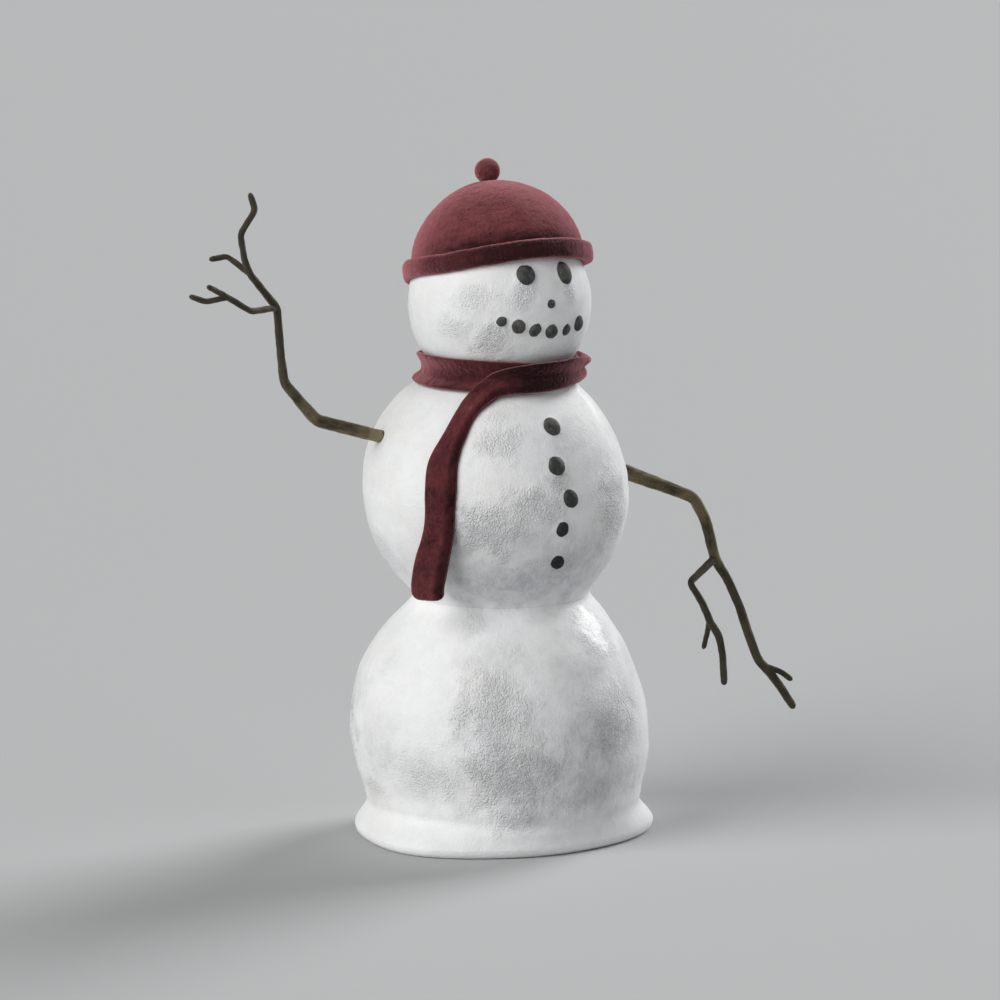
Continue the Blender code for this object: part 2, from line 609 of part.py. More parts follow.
def make_arm(side, stem_bends, twigs, collection, cutters, finish, parent):
    """A stem, and its twigs cut to the stem's bark; a twig's own end fork is fused to it."""
    stem_name = side + "_arm_stem"
    add_object(stem_name, stick_mesh(stem_name, stem_bends), collection, finish, parent)
    room_name = stem_name + "_room"
    room = as_cutter(add_object(room_name, stick_mesh(room_name, stem_bends, GAP), cutters))
    for twig, bends, fork in twigs:
        name = side + "_arm_" + twig
        piece = add_object(name, stick_mesh(name, bends), collection, finish, parent)
        if fork:
            end = as_cutter(add_object(name + "_fork", stick_mesh(name + "_fork", fork), cutters))
            add_boolean(piece, end, "UNION")
        add_boolean(piece, room, "DIFFERENCE")
    return room


def main():
    clear_scene()
    collection = make_collection("snowman")
    cutters = make_collection("snowman_cutters")
    finish = {name: make_finish(name) for name in FINISHES}
    root = bpy.data.objects.new("snowman_foot", None)
    collection.objects.link(root)
    bottom, middle, head = make_snow(collection, finish["snow"], root)
    make_coal(FACE_COAL, head, collection, cutters, finish["coal"], root)
    sockets = make_coal(BUTTON_COAL, middle, collection, cutters, finish["coal"], root)
    make_hat(collection, cutters, finish["wool"], root)
    make_scarf(collection, finish["wool"], root)
    right = (("lower_twig", RIGHT_LOWER, RIGHT_LOWER_TIP), ("upper_twig", RIGHT_UPPER, None))
    left = (("side_twig", LEFT_SIDE, LEFT_SIDE_TIP), ("tip_twig", LEFT_TIP, None))
    for side, stem, twigs in (("right", RIGHT_STEM, right), ("left", LEFT_STEM, left)):
        sockets.objects.link(make_arm(side, stem, twigs, collection, cutters, finish["wood"], root))
    bpy.context.view_layer.update()


main()
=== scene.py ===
"""A garden snowman: packed snow, coal, felted wool and bark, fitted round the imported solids.

Metres, +Z up. The snowman faces -Y and its right side is -X. An azimuth is in degrees about Z: 0 looks along
-Y and positive turns towards +X. Surfaces are grids of points: rows run from foot to top or from end to end,
columns run round.
"""

import itertools
import math

import bpy
import numpy as np
from bpy.props import FloatProperty, FloatVectorProperty, PointerProperty
from mathutils import Euler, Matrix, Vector


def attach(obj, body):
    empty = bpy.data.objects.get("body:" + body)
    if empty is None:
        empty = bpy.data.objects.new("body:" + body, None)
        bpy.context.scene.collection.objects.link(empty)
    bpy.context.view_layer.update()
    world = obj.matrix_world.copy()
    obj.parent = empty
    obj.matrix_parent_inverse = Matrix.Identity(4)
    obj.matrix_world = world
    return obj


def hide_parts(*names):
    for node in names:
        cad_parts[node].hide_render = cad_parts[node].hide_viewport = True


bl_info = {
    "name": "Garden snowman",
    "version": (1, 0, 0),
    "blender": (4, 5, 0),
    "location": "3D View > Sidebar > Snowman",
    "description": "Builds a snowman's snow, coal, hat, scarf and stick arms round its packed solids",
    "category": "Object",
}

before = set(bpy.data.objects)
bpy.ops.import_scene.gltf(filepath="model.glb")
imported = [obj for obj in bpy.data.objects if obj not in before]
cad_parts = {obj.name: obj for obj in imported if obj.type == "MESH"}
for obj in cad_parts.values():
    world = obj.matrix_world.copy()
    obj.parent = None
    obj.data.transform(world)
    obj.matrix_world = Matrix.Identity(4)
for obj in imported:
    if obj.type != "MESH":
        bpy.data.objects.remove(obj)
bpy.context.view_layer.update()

# ---------------------------------------------------------------- sizes of the solids

HEAD_HEIGHT, HEAD_RADIUS = 1.167, 0.2005
MIDDLE_HEIGHT, MIDDLE_RADIUS = 0.759, 0.2918
BOTTOM_HEIGHT, BOTTOM_RADIUS = 0.226, 0.328
BOTTOM_RISE, BOTTOM_DROP = 0.355, 0.334     # half heights of the lower ball over and under its widest ring
WAIST_HEIGHT, WAIST_FILLET = 0.527, 0.0205
NECK_HEIGHT, NECK_FILLET = 1.022, 0.006
DRIFT_AZIMUTH = 58.0                        # the balls' centre line wanders this way
# (height, how far it has wandered there)
CENTRE_LINE = ((0.00, 0.001), (0.08, 0.001), (0.16, -0.002), (0.24, -0.007), (0.37, -0.012),
               (0.44, -0.0085), (0.51, -0.001), (0.545, -0.005), (0.59, -0.010), (0.70, -0.0115),
               (0.78, -0.016), (0.85, -0.0195), (0.97, -0.0203), (1.04, -0.006), (1.40, -0.006))
FOOT_RADIUS, FOOT_CONTACT_RADIUS = 0.3290, 0.311
FOOT_WIDEST_HEIGHT, FOOT_TOP_HEIGHT, FOOT_BLEND_END = 0.018, 0.080, 0.120
FOOT_FLARE, FOOT_FILLET = 0.0395, 0.007
# at the front the ball runs down into the lip more softly: azimuth, half width in degrees, fillet
FOOT_SOFT = (-30.0, 62.0, 0.020)
FOOT_SOFT_START, FOOT_SOFT_FULL, FOOT_SOFT_FADE, FOOT_SOFT_END = 0.018, 0.055, 0.095, 0.190
# (azimuth, half width in degrees, how far the lip bulges out)
FOOT_LOBES = ((-66.0, 24.0, 0.030), (14.0, 34.0, -0.023), (62.0, 16.0, 0.004), (118.0, 45.0, 0.010),
              (-150.0, 35.0, -0.008))

# (name, azimuth, height, half length, half width, roll of the length from level)
COAL = (
    ("eye_right", -13.9, 1.2507, 0.0226, 0.0208, 98.0),
    ("eye_left", 17.6, 1.2481, 0.0256, 0.0203, 85.0),
    ("nose", 2.0, 1.1868, 0.0102, 0.0095, 24.0),
    ("mouth_1", -30.7, 1.1533, 0.0117, 0.0105, 29.0),
    ("mouth_2", -20.0, 1.1412, 0.0161, 0.0154, 104.0),
    ("mouth_3", -9.1, 1.1318, 0.0157, 0.0129, 47.0),
    ("mouth_4", 2.8, 1.1263, 0.0160, 0.0156, 96.0),
    ("mouth_5", 15.1, 1.1260, 0.0132, 0.0112, 59.0),
    ("mouth_6", 27.1, 1.1356, 0.0180, 0.0151, 89.0),
    ("button_1", -0.1, 0.9259, 0.0216, 0.0200, 90.0),
    ("button_2", -2.7, 0.8463, 0.0212, 0.0197, 100.0),
    ("button_3", 2.0, 0.7749, 0.0209, 0.0176, 118.0),
    ("button_4", -2.7, 0.7092, 0.0170, 0.0147, 83.0),
    ("button_5", -2.7, 0.6340, 0.0175, 0.0155, 131.0),
)
COAL_DEPTH, COAL_SINK = 0.62, 0.12          # half depth by half width, and how much of it the middle is sunk
COAL_COLUMNS, COAL_ROWS = 44, 26
POLE_GAP = 0.04                             # radians left open at each end of a ball's grid
COAL_CLEARING = (0.9, 1.6)                  # half widths from a pebble's middle between which the lumps begin
# painted light: the higher pebbles are lighter and the lower darker
COAL_DUST_AND_LIGHT = (0.66, 0.92)                    # heights between which the pebbles turn from clean to dusty

SNOW_OUTLINE_STEPS = 6000                   # places where the outline is measured, to space its rows evenly
SNOW_INSET = 0.0016                         # keeps the lumps inside the solids' surface
SNOW_FINE_DEPTH = 0.0004                    # of the unevenness everywhere
SNOW_GROUNDED = (0.004, 0.030)              # heights between which the foot's lumps begin
SNOW_TOP_GAP = 0.0002                       # how far under the head's top, inside the hat, its last row lies
PATCH_RAGGED = 0.50                         # how ragged a patch's edge is, as a share of its half width
PATCH_EDGE = (0.15, 1.55)                   # shares of its half width between which a patch fades out
# Patches of coarse, refrozen snow: (azimuth, height, half width, half height, strength)
COARSE_PATCHES = (
    (-39, 1.107, 0.042, 0.042, 0.85), (-49, 1.205, 0.045, 0.035, 0.5), (-17, 1.210, 0.028, 0.032, 0.6),
    (19, 1.204, 0.024, 0.024, 0.7), (10, 1.085, 0.050, 0.020, 0.4), (-62, 1.140, 0.045, 0.030, 0.4),
    (78, 1.170, 0.050, 0.055, 0.8), (140, 1.130, 0.070, 0.040, 0.7), (-130, 1.180, 0.060, 0.050, 0.8),
    (-35, 0.712, 0.088, 0.060, 0.85), (-17, 0.765, 0.070, 0.044, 0.8), (-3, 0.808, 0.036, 0.026, 0.8),
    (29, 0.733, 0.065, 0.085, 0.9), (-30, 0.902, 0.055, 0.045, 0.55), (-8, 0.625, 0.085, 0.024, 0.45),
    (75, 0.830, 0.080, 0.060, 0.7), (115, 0.660, 0.090, 0.060, 0.9), (170, 0.780, 0.110, 0.060, 0.8),
    (-105, 0.640, 0.080, 0.050, 0.5), (-150, 0.720, 0.080, 0.070, 0.9),
    (-34, 0.322, 0.080, 0.090, 0.8), (-28, 0.200, 0.115, 0.090, 0.85), (-60, 0.172, 0.095, 0.052, 0.45),
    (18, 0.268, 0.095, 0.075, 0.8), (26, 0.466, 0.055, 0.050, 0.8), (-48, 0.503, 0.035, 0.030, 0.4),
    (-28, 0.090, 0.060, 0.036, 0.6), (4, 0.130, 0.080, 0.050, 0.5), (70, 0.170, 0.090, 0.070, 0.8),
    (105, 0.360, 0.100, 0.060, 0.8), (150, 0.200, 0.120, 0.080, 0.9), (-170, 0.400, 0.090, 0.060, 0.7),
    (-125, 0.260, 0.110, 0.080, 0.8), (-98, 0.120, 0.060, 0.040, 0.5), (-88, 0.400, 0.040, 0.030, 0.3),
)
# Patches of thin grey ice, in the same way; many also stand for painted shade: the scarf tail's shadow,
# the middle ball's underside and the lower ball's low front
ICE_AND_SHADE_PATCHES = (
    (-44, 1.130, 0.070, 0.050, 0.35), (-20, 1.200, 0.060, 0.040, 0.3), (30, 1.110, 0.060, 0.060, 0.6),
    (100, 1.120, 0.090, 0.050, 0.7), (-160, 1.150, 0.080, 0.050, 0.6),
    (-47, 0.690, 0.040, 0.065, 1.3), (-45, 0.616, 0.070, 0.040, 1.0), (-22, 0.655, 0.150, 0.095, 0.6),
    (8, 0.900, 0.050, 0.040, 0.55), (22, 0.840, 0.060, 0.040, 0.4), (34, 0.730, 0.050, 0.080, 0.4),
    (5, 0.640, 0.120, 0.060, 1.1), (95, 0.700, 0.100, 0.080, 0.7), (-170, 0.830, 0.100, 0.060, 0.6),
    (-125, 0.700, 0.080, 0.070, 0.5),
    (-86, 0.223, 0.090, 0.070, 0.55), (-62, 0.165, 0.115, 0.060, 0.4), (-32, 0.430, 0.075, 0.050, 0.6),
    (-8, 0.160, 0.200, 0.090, 1.1), (-4, 0.517, 0.055, 0.022, 0.6), (6, 0.410, 0.085, 0.060, 0.7),
    (9, 0.250, 0.120, 0.100, 1.1), (-14, 0.112, 0.100, 0.048, 1.3), (34, 0.330, 0.060, 0.050, 0.6),
    (4, 0.335, 0.080, 0.070, 0.6), (80, 0.300, 0.100, 0.080, 0.7),
    (140, 0.380, 0.110, 0.060, 0.6), (-155, 0.180, 0.110, 0.070, 0.7), (-110, 0.330, 0.080, 0.060, 0.5),
    (14, 0.140, 0.130, 0.066, 1.1), (-8, 0.074, 0.120, 0.024, 0.4), (-20, 0.586, 0.220, 0.060, 1.45),
    (-22, 0.270, 0.150, 0.090, 0.55), (20, 0.590, 0.120, 0.045, 1.0),
)
# Patches that have melted and set again with a shine, in the same way
GLAZE_PATCHES = (
    (26, 0.478, 0.055, 0.055, 1.0), (50, 0.400, 0.050, 0.070, 0.8), (22, 0.046, 0.080, 0.036, 1.0),
    (52, 0.920, 0.060, 0.080, 0.8), (50, 1.230, 0.060, 0.060, 0.6), (150, 0.460, 0.120, 0.080, 0.7),
    (-160, 0.920, 0.100, 0.060, 0.7), (-100, 0.470, 0.070, 0.060, 0.4),
)

HAT_TIP_BACK, HAT_TIP_SIDE, HAT_SHIFT = 15.0, 1.6, 0.0065
CROWN_RADIUS, CROWN_APEX, CROWN_SHOULDER, CROWN_POWER = 0.189, 0.2675, 0.092, 1.95
CROWN_LOWEST, CROWN_TUCK = 0.080, 0.002     # the crown's edge goes down to this height and in by the tuck
CROWN_SPACING, CROWN_COLUMNS, CROWN_OUTLINE_STEPS = 0.0033, 300, 2000
CROWN_TOP_GAP = 0.002                       # how far from the top its last row lies, under the bobble
# painted shade darkens the crown here: azimuth, half width, rise over the shoulder by which it has faded out,
# strength
CROWN_SHADE = (0.0, 80.0, 0.060, 1.25)
BRIM_RADIUS, BRIM_INNER, BRIM_MIDDLE, BRIM_HALF_HEIGHT, BRIM_POWER = 0.2085, 0.178, 0.0867, 0.0218, 3.2
BRIM_COLUMNS, BRIM_ROWS = 400, 52
BRIM_LOW_TONE = -0.24                       # painted shade: how much darker the brim is below its top edge
BRIM_SHADE = (16.0, 74.0, 0.95)              # and darker still with painted shade here: azimuth, half width, strength
BOBBLE_RADIUS, BOBBLE_MIDDLE = 0.0285, 0.2898
BOBBLE_COLUMNS, BOBBLE_ROWS = 96, 60
BOBBLE_SHARE, BOBBLE_CREASE_DEPTH = 0.975, 0.0006   # its felt lies at this share of the radius
BRIM_WOOL, BOBBLE_WOOL = 3.0, 5.0           # how far along the wool from the crown's these two are cut
CREASE_MOST = 1.6                           # the lightness at which felt turns right to its pale nap colour, a painted highlight
# (azimuth, half width in degrees, how far the brim's edge is pushed up)
BRIM_WAVES = ((-62.0, 28.0, -0.0045), (8.0, 30.0, 0.0035), (-105.0, 22.0, 0.0035), (110.0, 35.0, 0.003),
              (175.0, 30.0, -0.004))

SCARF_SPACING, SCARF_COLUMNS, SCARF_END_ROWS = 0.0032, 44, 14
SCARF_NECK_THICK, SCARF_TAIL_THICK, SCARF_CLEAR = 0.010, 0.013, 0.0012
SCARF_SQUARE = (0.62, 0.42)                 # how square its edges are across and out, the smaller the squarer
SCARF_END_THIN, SCARF_END_TAPER = 0.55, 0.005   # share of the thickness lost over this last length
SCARF_WOOL_WIDTH, SCARF_WOOL_DEPTH = 0.065, 0.03    # of the wool that its creases are worked out in
SCARF_PINCH_RADIUS, SCARF_HEM_FLARE = 0.163, 0.007
SCARF_NECK_BLEND, SCARF_UNDER_NECK = 0.003, 0.97
SCARF_RAMP, SCARF_LAST_RAMP = 42.0, 3.0     # how far before a full turn the strip climbs over its own start
SCARF_OFF_NECK, SCARF_ON_BALL = 0.992, 0.935
SCARF_HANG_OUT, SCARF_HANG_DROP = 0.006, 0.16
SCARF_HALF_WIDTH = 0.031                    # of the tail
SCARF_ROLL, SCARF_ROLL_SHARE = 0.010, 0.24  # how far the tail's inner edge rolls back, over this share across
# the first turn is pressed in where the second covers it, which is between these azimuths
SCARF_PRESS, SCARF_COVER_START, SCARF_COVER_END = 0.009, 5.0, -30.0
SCARF_LIFT_START, SCARF_LIFT_END = 0.985, 1.016   # heights over which the second turn climbs onto the first
# the strip's two edges from its hidden start, once round the neck, over itself and down the front, with
# azimuths that run on past a full turn: (upper or outer azimuth, height, lower or inner azimuth, height)
SCARF_EDGES = (
    (75, 1.0490, 75, 1.0130), (35, 1.0500, 35, 1.0130), (0, 1.0540, 0, 1.0120), (-15, 1.0585, -15, 1.0090),
    (-30, 1.0620, -30, 1.0030), (-48, 1.0645, -46, 0.9995), (-70, 1.0655, -70, 0.9995),
    (-90, 1.0655, -90, 1.0000), (-106, 1.0640, -106, 1.0005), (-122, 1.0600, -122, 1.0010),
    (-150, 1.0530, -150, 1.0000),
    (-190, 1.0500, -190, 0.9990), (-230, 1.0490, -230, 0.9985), (-270, 1.0490, -270, 0.9990),
    (-298, 1.0510, -298, 1.0000), (-311, 1.0540, -311, 1.0015), (-323, 1.0580, -323, 1.0018),
    (-335, 1.0605, -334, 1.0000), (-344, 1.0592, -343, 0.9980), (-352, 1.0588, -351, 0.9965),
    (-359, 1.0588, -358, 0.9958), (-367, 1.0577, -364.5, 0.9955), (-374, 1.0555, -371.5, 0.9955),
    (-380, 1.0530, -377, 0.9956), (-385.5, 1.0500, -382, 0.9957), (-391, 1.0455, -386, 0.9952),
    (-396.5, 1.0385, -389, 0.9925), (-401, 1.0285, -391.7, 0.9867), (-404.5, 1.0170, -394.5, 0.9790),
    (-407, 1.0055, -397, 0.9722), (-408.7, 0.9950, -399, 0.9655), (-410.2, 0.9825, -400.7, 0.9572),
    (-411.7, 0.9680, -402.3, 0.9475), (-413.2, 0.9525, -403.6, 0.9355), (-414.7, 0.9350, -404.7, 0.9213),
    (-416.3, 0.9160, -405.8, 0.9060), (-418.3, 0.8950, -406.9, 0.8890), (-420.4, 0.8720, -407.6, 0.8700),
    (-421.5, 0.8480, -408.0, 0.8500), (-422.0, 0.7980, -408.3, 0.8010), (-422.2, 0.7480, -409.3, 0.7510),
    (-424.2, 0.6930, -410.6, 0.6950), (-427.1, 0.6480, -412.2, 0.6500), (-428.8, 0.6080, -413.7, 0.6120),
    (-429.5, 0.5760, -415.0, 0.5800), (-429.4, 0.5550, -415.4, 0.5575),
)
# painted shade by the tail's rolled edge, and painted highlight on the ridge beside it
SCARF_LEE, SCARF_RIDGE = 0.55, 0.22         # how much darker the rolled edge is, and paler its ridge
# their places across the tail, as shares of the roll's own share, and the ridge's half width
SCARF_LEE_LIMITS, SCARF_RIDGE_MIDDLE, SCARF_RIDGE_HALF = (0.6, 1.25), 1.5, 0.12
SCARF_HIGHLIGHT = (0.965, 0.050, 0.6)            # painted highlight on the tail's top here: height, half height, strength
SCARF_SHADE = (-348.0, 42.0, 1.2)            # painted shadow of the head on the loop here: azimuth, half width, strength
SCARF_PROUD = 0.0045                        # painted highlight: how far a fold stands out to be one step paler
SCARF_TURN = (-380.0, -400.0)               # upper-edge azimuths between which the loop becomes the tail
SCARF_CORNER = 0.016                        # radius of the tail's two corners
# where the loop is gathered into folds: (the strip's own azimuth, half width in degrees, strength)
SCARF_FOLDS = ((-112.0, 26.0, 1.3), (-306.0, 14.0, 2.0), (-205.0, 40.0, 0.8))
# where an edge of the loop curls out: (azimuth, half width in degrees, upper edge, lower edge)
SCARF_CURLS = ((-122.0, 20.0, 0.000, -0.001), (-304.0, 15.0, 0.0045, 0.006))
# the upper edge is rolled thick here: azimuth, half width, share across, half width of that, how much thicker
SCARF_ROLLED = (-303.0, 15.0, 0.88, 0.16, 1.5)
SCARF_ROLL_HIGHLIGHT = 2.2                      # painted highlight: how much paler that roll is

# the sticks' bends from the buried end to the tip: (x, y, z, diameter)
RIGHT_STEM = ((-0.170, 0.060, 0.858, 0.026), (-0.268, 0.060, 0.885, 0.029), (-0.350, 0.060, 0.910, 0.0285),
              (-0.435, 0.060, 0.935, 0.027), (-0.524, 0.045, 1.027, 0.0205), (-0.534, 0.040, 1.088, 0.0170),
              (-0.555, 0.020, 1.194, 0.0170), (-0.633, 0.000, 1.275, 0.0150), (-0.652, -0.010, 1.310, 0.0140),
              (-0.664, -0.015, 1.363, 0.0135), (-0.636, -0.030, 1.415, 0.0135),
              (-0.649, -0.030, 1.452, 0.013))
RIGHT_LOWER = ((-0.556, 0.020, 1.194, 0.0145), (-0.641, -0.020, 1.197, 0.0135),
               (-0.723, -0.030, 1.244, 0.0125), (-0.764, -0.050, 1.263, 0.012))
RIGHT_LOWER_TIP = ((-0.703, -0.028, 1.233, 0.012), (-0.751, -0.020, 1.226, 0.0125),
                   (-0.789, -0.015, 1.240, 0.012))
RIGHT_UPPER = ((-0.633, 0.000, 1.275, 0.0135), (-0.670, 0.030, 1.312, 0.0125), (-0.709, 0.040, 1.306, 0.012))
LEFT_STEM = ((0.165, 0.126, 0.833, 0.030), (0.258, 0.101, 0.796, 0.034), (0.374, 0.070, 0.749, 0.033),
             (0.449, 0.050, 0.718, 0.028), (0.522, 0.030, 0.687, 0.0255), (0.548, 0.020, 0.632, 0.025),
             (0.558, 0.000, 0.550, 0.023), (0.588, -0.010, 0.499, 0.0195), (0.612, -0.020, 0.439, 0.0195),
             (0.628, -0.030, 0.381, 0.0205), (0.649, -0.040, 0.317, 0.020), (0.667, -0.050, 0.296, 0.020),
             (0.699, -0.055, 0.255, 0.0185), (0.734, -0.060, 0.202, 0.018))
LEFT_SIDE = ((0.558, 0.000, 0.550, 0.019), (0.465, -0.040, 0.511, 0.015), (0.489, -0.055, 0.465, 0.016),
             (0.505, -0.065, 0.419, 0.0175), (0.524, -0.070, 0.389, 0.0165), (0.528, -0.080, 0.344, 0.016),
             (0.525, -0.090, 0.281, 0.0155))
LEFT_SIDE_TIP = ((0.503, -0.062, 0.425, 0.012), (0.505, -0.050, 0.392, 0.012), (0.502, -0.040, 0.357, 0.0115))
LEFT_TIP = ((0.662, -0.048, 0.303, 0.0135), (0.695, -0.060, 0.290, 0.0135), (0.715, -0.080, 0.271, 0.0125))
STICK_SPACING, STICK_COLUMNS = 0.0032, 30
# a bend is rounded off over this many diameters each way, or this share of a short stretch
BEND_REACH, BEND_SHARE = 0.7, 0.45
TIP_LENGTH, TIP_SHARE = 1.5, 0.30           # a tip rounds off over this many radii, to this share of one
YOUNG_WOOD = (0.018, 0.027)                 # diameters between which the bark turns from dark to usual
BARK_GRAIN = 0.22                           # the bark's pattern is drawn out along the stick by one over this
BARK_DEPTH, BARE_EDGE = 0.0007, 0.002       # how deep the bark is stripped, and the length over which it ends
RIDGED_RADIUS = 0.006                       # sticks thinner than this have lower ridges
# node: (its sticks, and between which runs along the first its bark is stripped)
STICKS = {
    "right_arm_stem": ((RIGHT_STEM,), (0.110, 0.146)),
    "right_arm_lower_twig": ((RIGHT_LOWER, RIGHT_LOWER_TIP), None),
    "right_arm_upper_twig": ((RIGHT_UPPER,), None),
    "left_arm_stem": ((LEFT_STEM,), None),
    "left_arm_side_twig": ((LEFT_SIDE, LEFT_SIDE_TIP), None),
    "left_arm_tip_twig": ((LEFT_TIP,), None),
}

# how deep each material's fine surface is where its height is 1
SNOW_BUMP, COAL_BUMP, FELT_BUMP, BARK_BUMP = 0.0080, 0.0006, 0.0021, 0.0008

FLOOR_REACH = 100.0                         # from its middle to its sides
VIEW_WIDTH = 2.2                            # across the picture at the snowman
AIM_UP, AIM_LEFT = 0.7216, 0.00506          # the camera is aimed at this place in the picture's own plane
# (setting, shares of its direction to the right, the front and above, softness in degrees, colour)
LIGHTS = (
    ("key", -0.70, 0.52, 0.50, 50.0, (1.0, 0.995, 0.98)),
    ("fill", 0.85, 0.40, 0.35, 60.0, (0.97, 0.98, 1.0)),
    ("rim", 0.62, -0.70, 0.55, 28.0, (1.0, 1.0, 1.0)),
)


# ---------------------------------------------------------------- settings

def colour_prop(name, description, default):
    return FloatVectorProperty(name=name, description=description, subtype="COLOR", size=3, min=0.0, max=1.0,
                               default=default)


def length_prop(name, description, default):
    return FloatProperty(name=name, description=description, subtype="DISTANCE", unit="LENGTH",
                         default=default)


def strength_prop(name, description, default):
    return FloatProperty(name=name, description=description, min=0.0, default=default)


def angle_prop(name, description, degrees):
    return FloatProperty(name=name, description=description, unit="ROTATION", default=math.radians(degrees))


class SnowSettings(bpy.types.PropertyGroup):
    """How the packed snow looks"""
    colour: colour_prop("Fresh snow", "Colour of the clean, packed snow", (0.90, 0.91, 0.92))
    # the icy colour is both thin grey ice and painted shade
    ice_and_shade_colour: colour_prop("Icy snow", "Colour of thin grey ice", (0.53, 0.55, 0.565))
    # the hollows' colour is painted shade
    hollow_shade_colour: colour_prop("Hollows", "Colour in the hollows of coarse snow", (0.42, 0.44, 0.475))
    warm_colour: colour_prop("Old snow", "Faint warm tint of old snow", (0.84, 0.82, 0.77))
    spacing: length_prop("Point spacing", "Distance between points of the surface", 0.0037)
    lump_depth: length_prop("Lump depth", "How far the hand-packed surface rises and falls", 0.0022)
    grain_depth: length_prop("Grain depth", "Height of the crumbs in coarse patches", 0.0016)


class CoalSettings(bpy.types.PropertyGroup):
    """How the coal looks"""
    colour: colour_prop("Coal", "Colour of the worn coal", (0.004, 0.004, 0.0038))
    dust_colour: colour_prop("Coal dust", "Colour of its raised spots", (0.130, 0.129, 0.121))
    unevenness: length_prop("Unevenness", "How far a pebble departs from an even oval", 0.0009)


class HatSettings(bpy.types.PropertyGroup):
    """How the hat looks"""
    colour: colour_prop("Hat wool", "Colour of the hat's felted wool", (0.325, 0.085, 0.093))
    # the creases' colour is the dark end of the felt's painted shade
    deep_colour: colour_prop("Hat creases", "Colour in the creases of the wool", (0.022, 0.004, 0.005))
    # the nap colour is painted sheen and highlight
    nap_sheen_colour: colour_prop("Hat nap", "Colour of the wool's pale nap", (0.56, 0.190, 0.212))
    crease_depth: length_prop("Crease depth", "Depth of the felt's fine creases", 0.0014)


class ScarfSettings(bpy.types.PropertyGroup):
    """How the scarf looks"""
    colour: colour_prop("Scarf wool", "Colour of the scarf's felted wool", (0.150, 0.033, 0.038))
    # the creases' colour is the dark end of the cloth's painted shade
    deep_colour: colour_prop("Scarf creases", "Colour in the creases of the cloth", (0.010, 0.0015, 0.002))
    # the nap colour is painted sheen and highlight
    nap_sheen_colour: colour_prop("Scarf nap", "Colour of the cloth's pale nap", (0.50, 0.195, 0.215))
    crease_depth: length_prop("Crease depth", "Depth of the cloth's fine creases", 0.0006)
    fold_depth: length_prop("Fold depth", "Depth of the folds where the loop is gathered", 0.0022)


class StickSettings(bpy.types.PropertyGroup):
    """How the sticks look"""
    bark_colour: colour_prop("Bark", "Main colour of the bark", (0.050, 0.038, 0.014))
    ridge_colour: colour_prop("Bark ridges", "Colour of the worn ridges", (0.215, 0.165, 0.088))
    crack_colour: colour_prop("Bark cracks", "Colour in the bark's cracks", (0.014, 0.011, 0.006))
    bare_colour: colour_prop("Bare wood", "Colour where the bark has come off", (0.270, 0.212, 0.130))
    young_colour: colour_prop("Young bark", "Colour of the darker bark on thin wood", (0.020, 0.017, 0.008))
    ridge_height: length_prop("Ridge height", "Height of the bark's ridges", 0.0009)


class StageSettings(bpy.types.PropertyGroup):
    """The floor, the lights and the camera"""
    floor_colour: colour_prop("Floor", "Colour of the plain floor", (0.48, 0.485, 0.49))
    key_light: strength_prop("Key light", "Strength of the soft light from the left", 2.46)
    fill_light: strength_prop("Fill light", "Strength of the weak light from the right", 0.44)
    rim_light: strength_prop("Rim light", "Strength of the light from behind on the right", 2.4)
    sky_strength: strength_prop("Room light", "Strength of the even light all round", 0.125)
    azimuth: angle_prop("Camera azimuth", "Direction the camera looks from", -32.0)
    elevation: angle_prop("Camera elevation", "Angle the camera looks down at", 9.5)
    view_angle: angle_prop("Camera angle", "Angle from side to side of the picture", 8.0)


SETTINGS = {"snow": SnowSettings, "coal": CoalSettings, "hat": HatSettings, "scarf": ScarfSettings,
            "sticks": StickSettings, "stage": StageSettings}


def settings(group):
    return getattr(bpy.context.scene, "snowman_" + group)


# ---------------------------------------------------------------- numbers

EDGE_DIRECTIONS = np.array([(1, 1, 0), (-1, 1, 0), (1, -1, 0), (-1, -1, 0), (1, 0, 1), (-1, 0, 1),
                            (1, 0, -1), (-1, 0, -1), (0, 1, 1), (0, -1, 1), (0, 1, -1), (0, -1, -1),
                            (1, 1, 0), (0, -1, 1), (-1, 1, 0), (0, -1, -1)], dtype=float)
LATTICE_PRIMES = np.array((73856093, 19349663, 83492791))


def lattice_pick(places, seed):
    """A pseudo-random whole number from 0 to 15 for each whole-numbered place."""
    mixed = np.bitwise_xor.reduce(places * LATTICE_PRIMES, axis=-1) ^ seed * 49979687
    mixed = (mixed & 0xFFFFFFFF) ^ ((mixed & 0xFFFFFFFF) >> 13)
    mixed = mixed * 1274126177 & 0xFFFFFFFF
    return (mixed ^ mixed >> 16) & 15


def noise(points, size, seed=0):
    """Smooth noise from about -1 to 1 at each point, with features of this size, one number or (x, y, z)."""
    scaled_points = points / np.asarray(size, dtype=float)
    base = np.floor(scaled_points).astype(np.int64)
    part = scaled_points - base
    fade = part ** 3 * (part * (part * 6 - 15) + 10)
    total = np.zeros(points.shape[:-1])
    for corner in itertools.product((0, 1), repeat=3):
        offset = np.array(corner)
        weight = np.prod(np.where(offset == 1, fade, 1 - fade), axis=-1)
        pull = EDGE_DIRECTIONS[lattice_pick(base + offset, seed)]
        total += weight * np.sum(pull * (part - offset), axis=-1)
    return total


def layered_noise(points, size, seed, layers):
    """Noise with finer and weaker noise on top."""
    return sum(noise(points, np.asarray(size) / 2 ** i, seed + i) / 2 ** i for i in range(layers))


def soft_max(a, b, fillet):
    """The larger of two radii, with their crossing rounded off."""
    return (a + b) / 2 + np.hypot((a - b) / 2, fillet)


def smooth_step(value, start, end):
    """0 before start and 1 after end, with an even S between."""
    t = np.clip((value - start) / (end - start), 0.0, 1.0)
    return t * t * (3 - 2 * t)


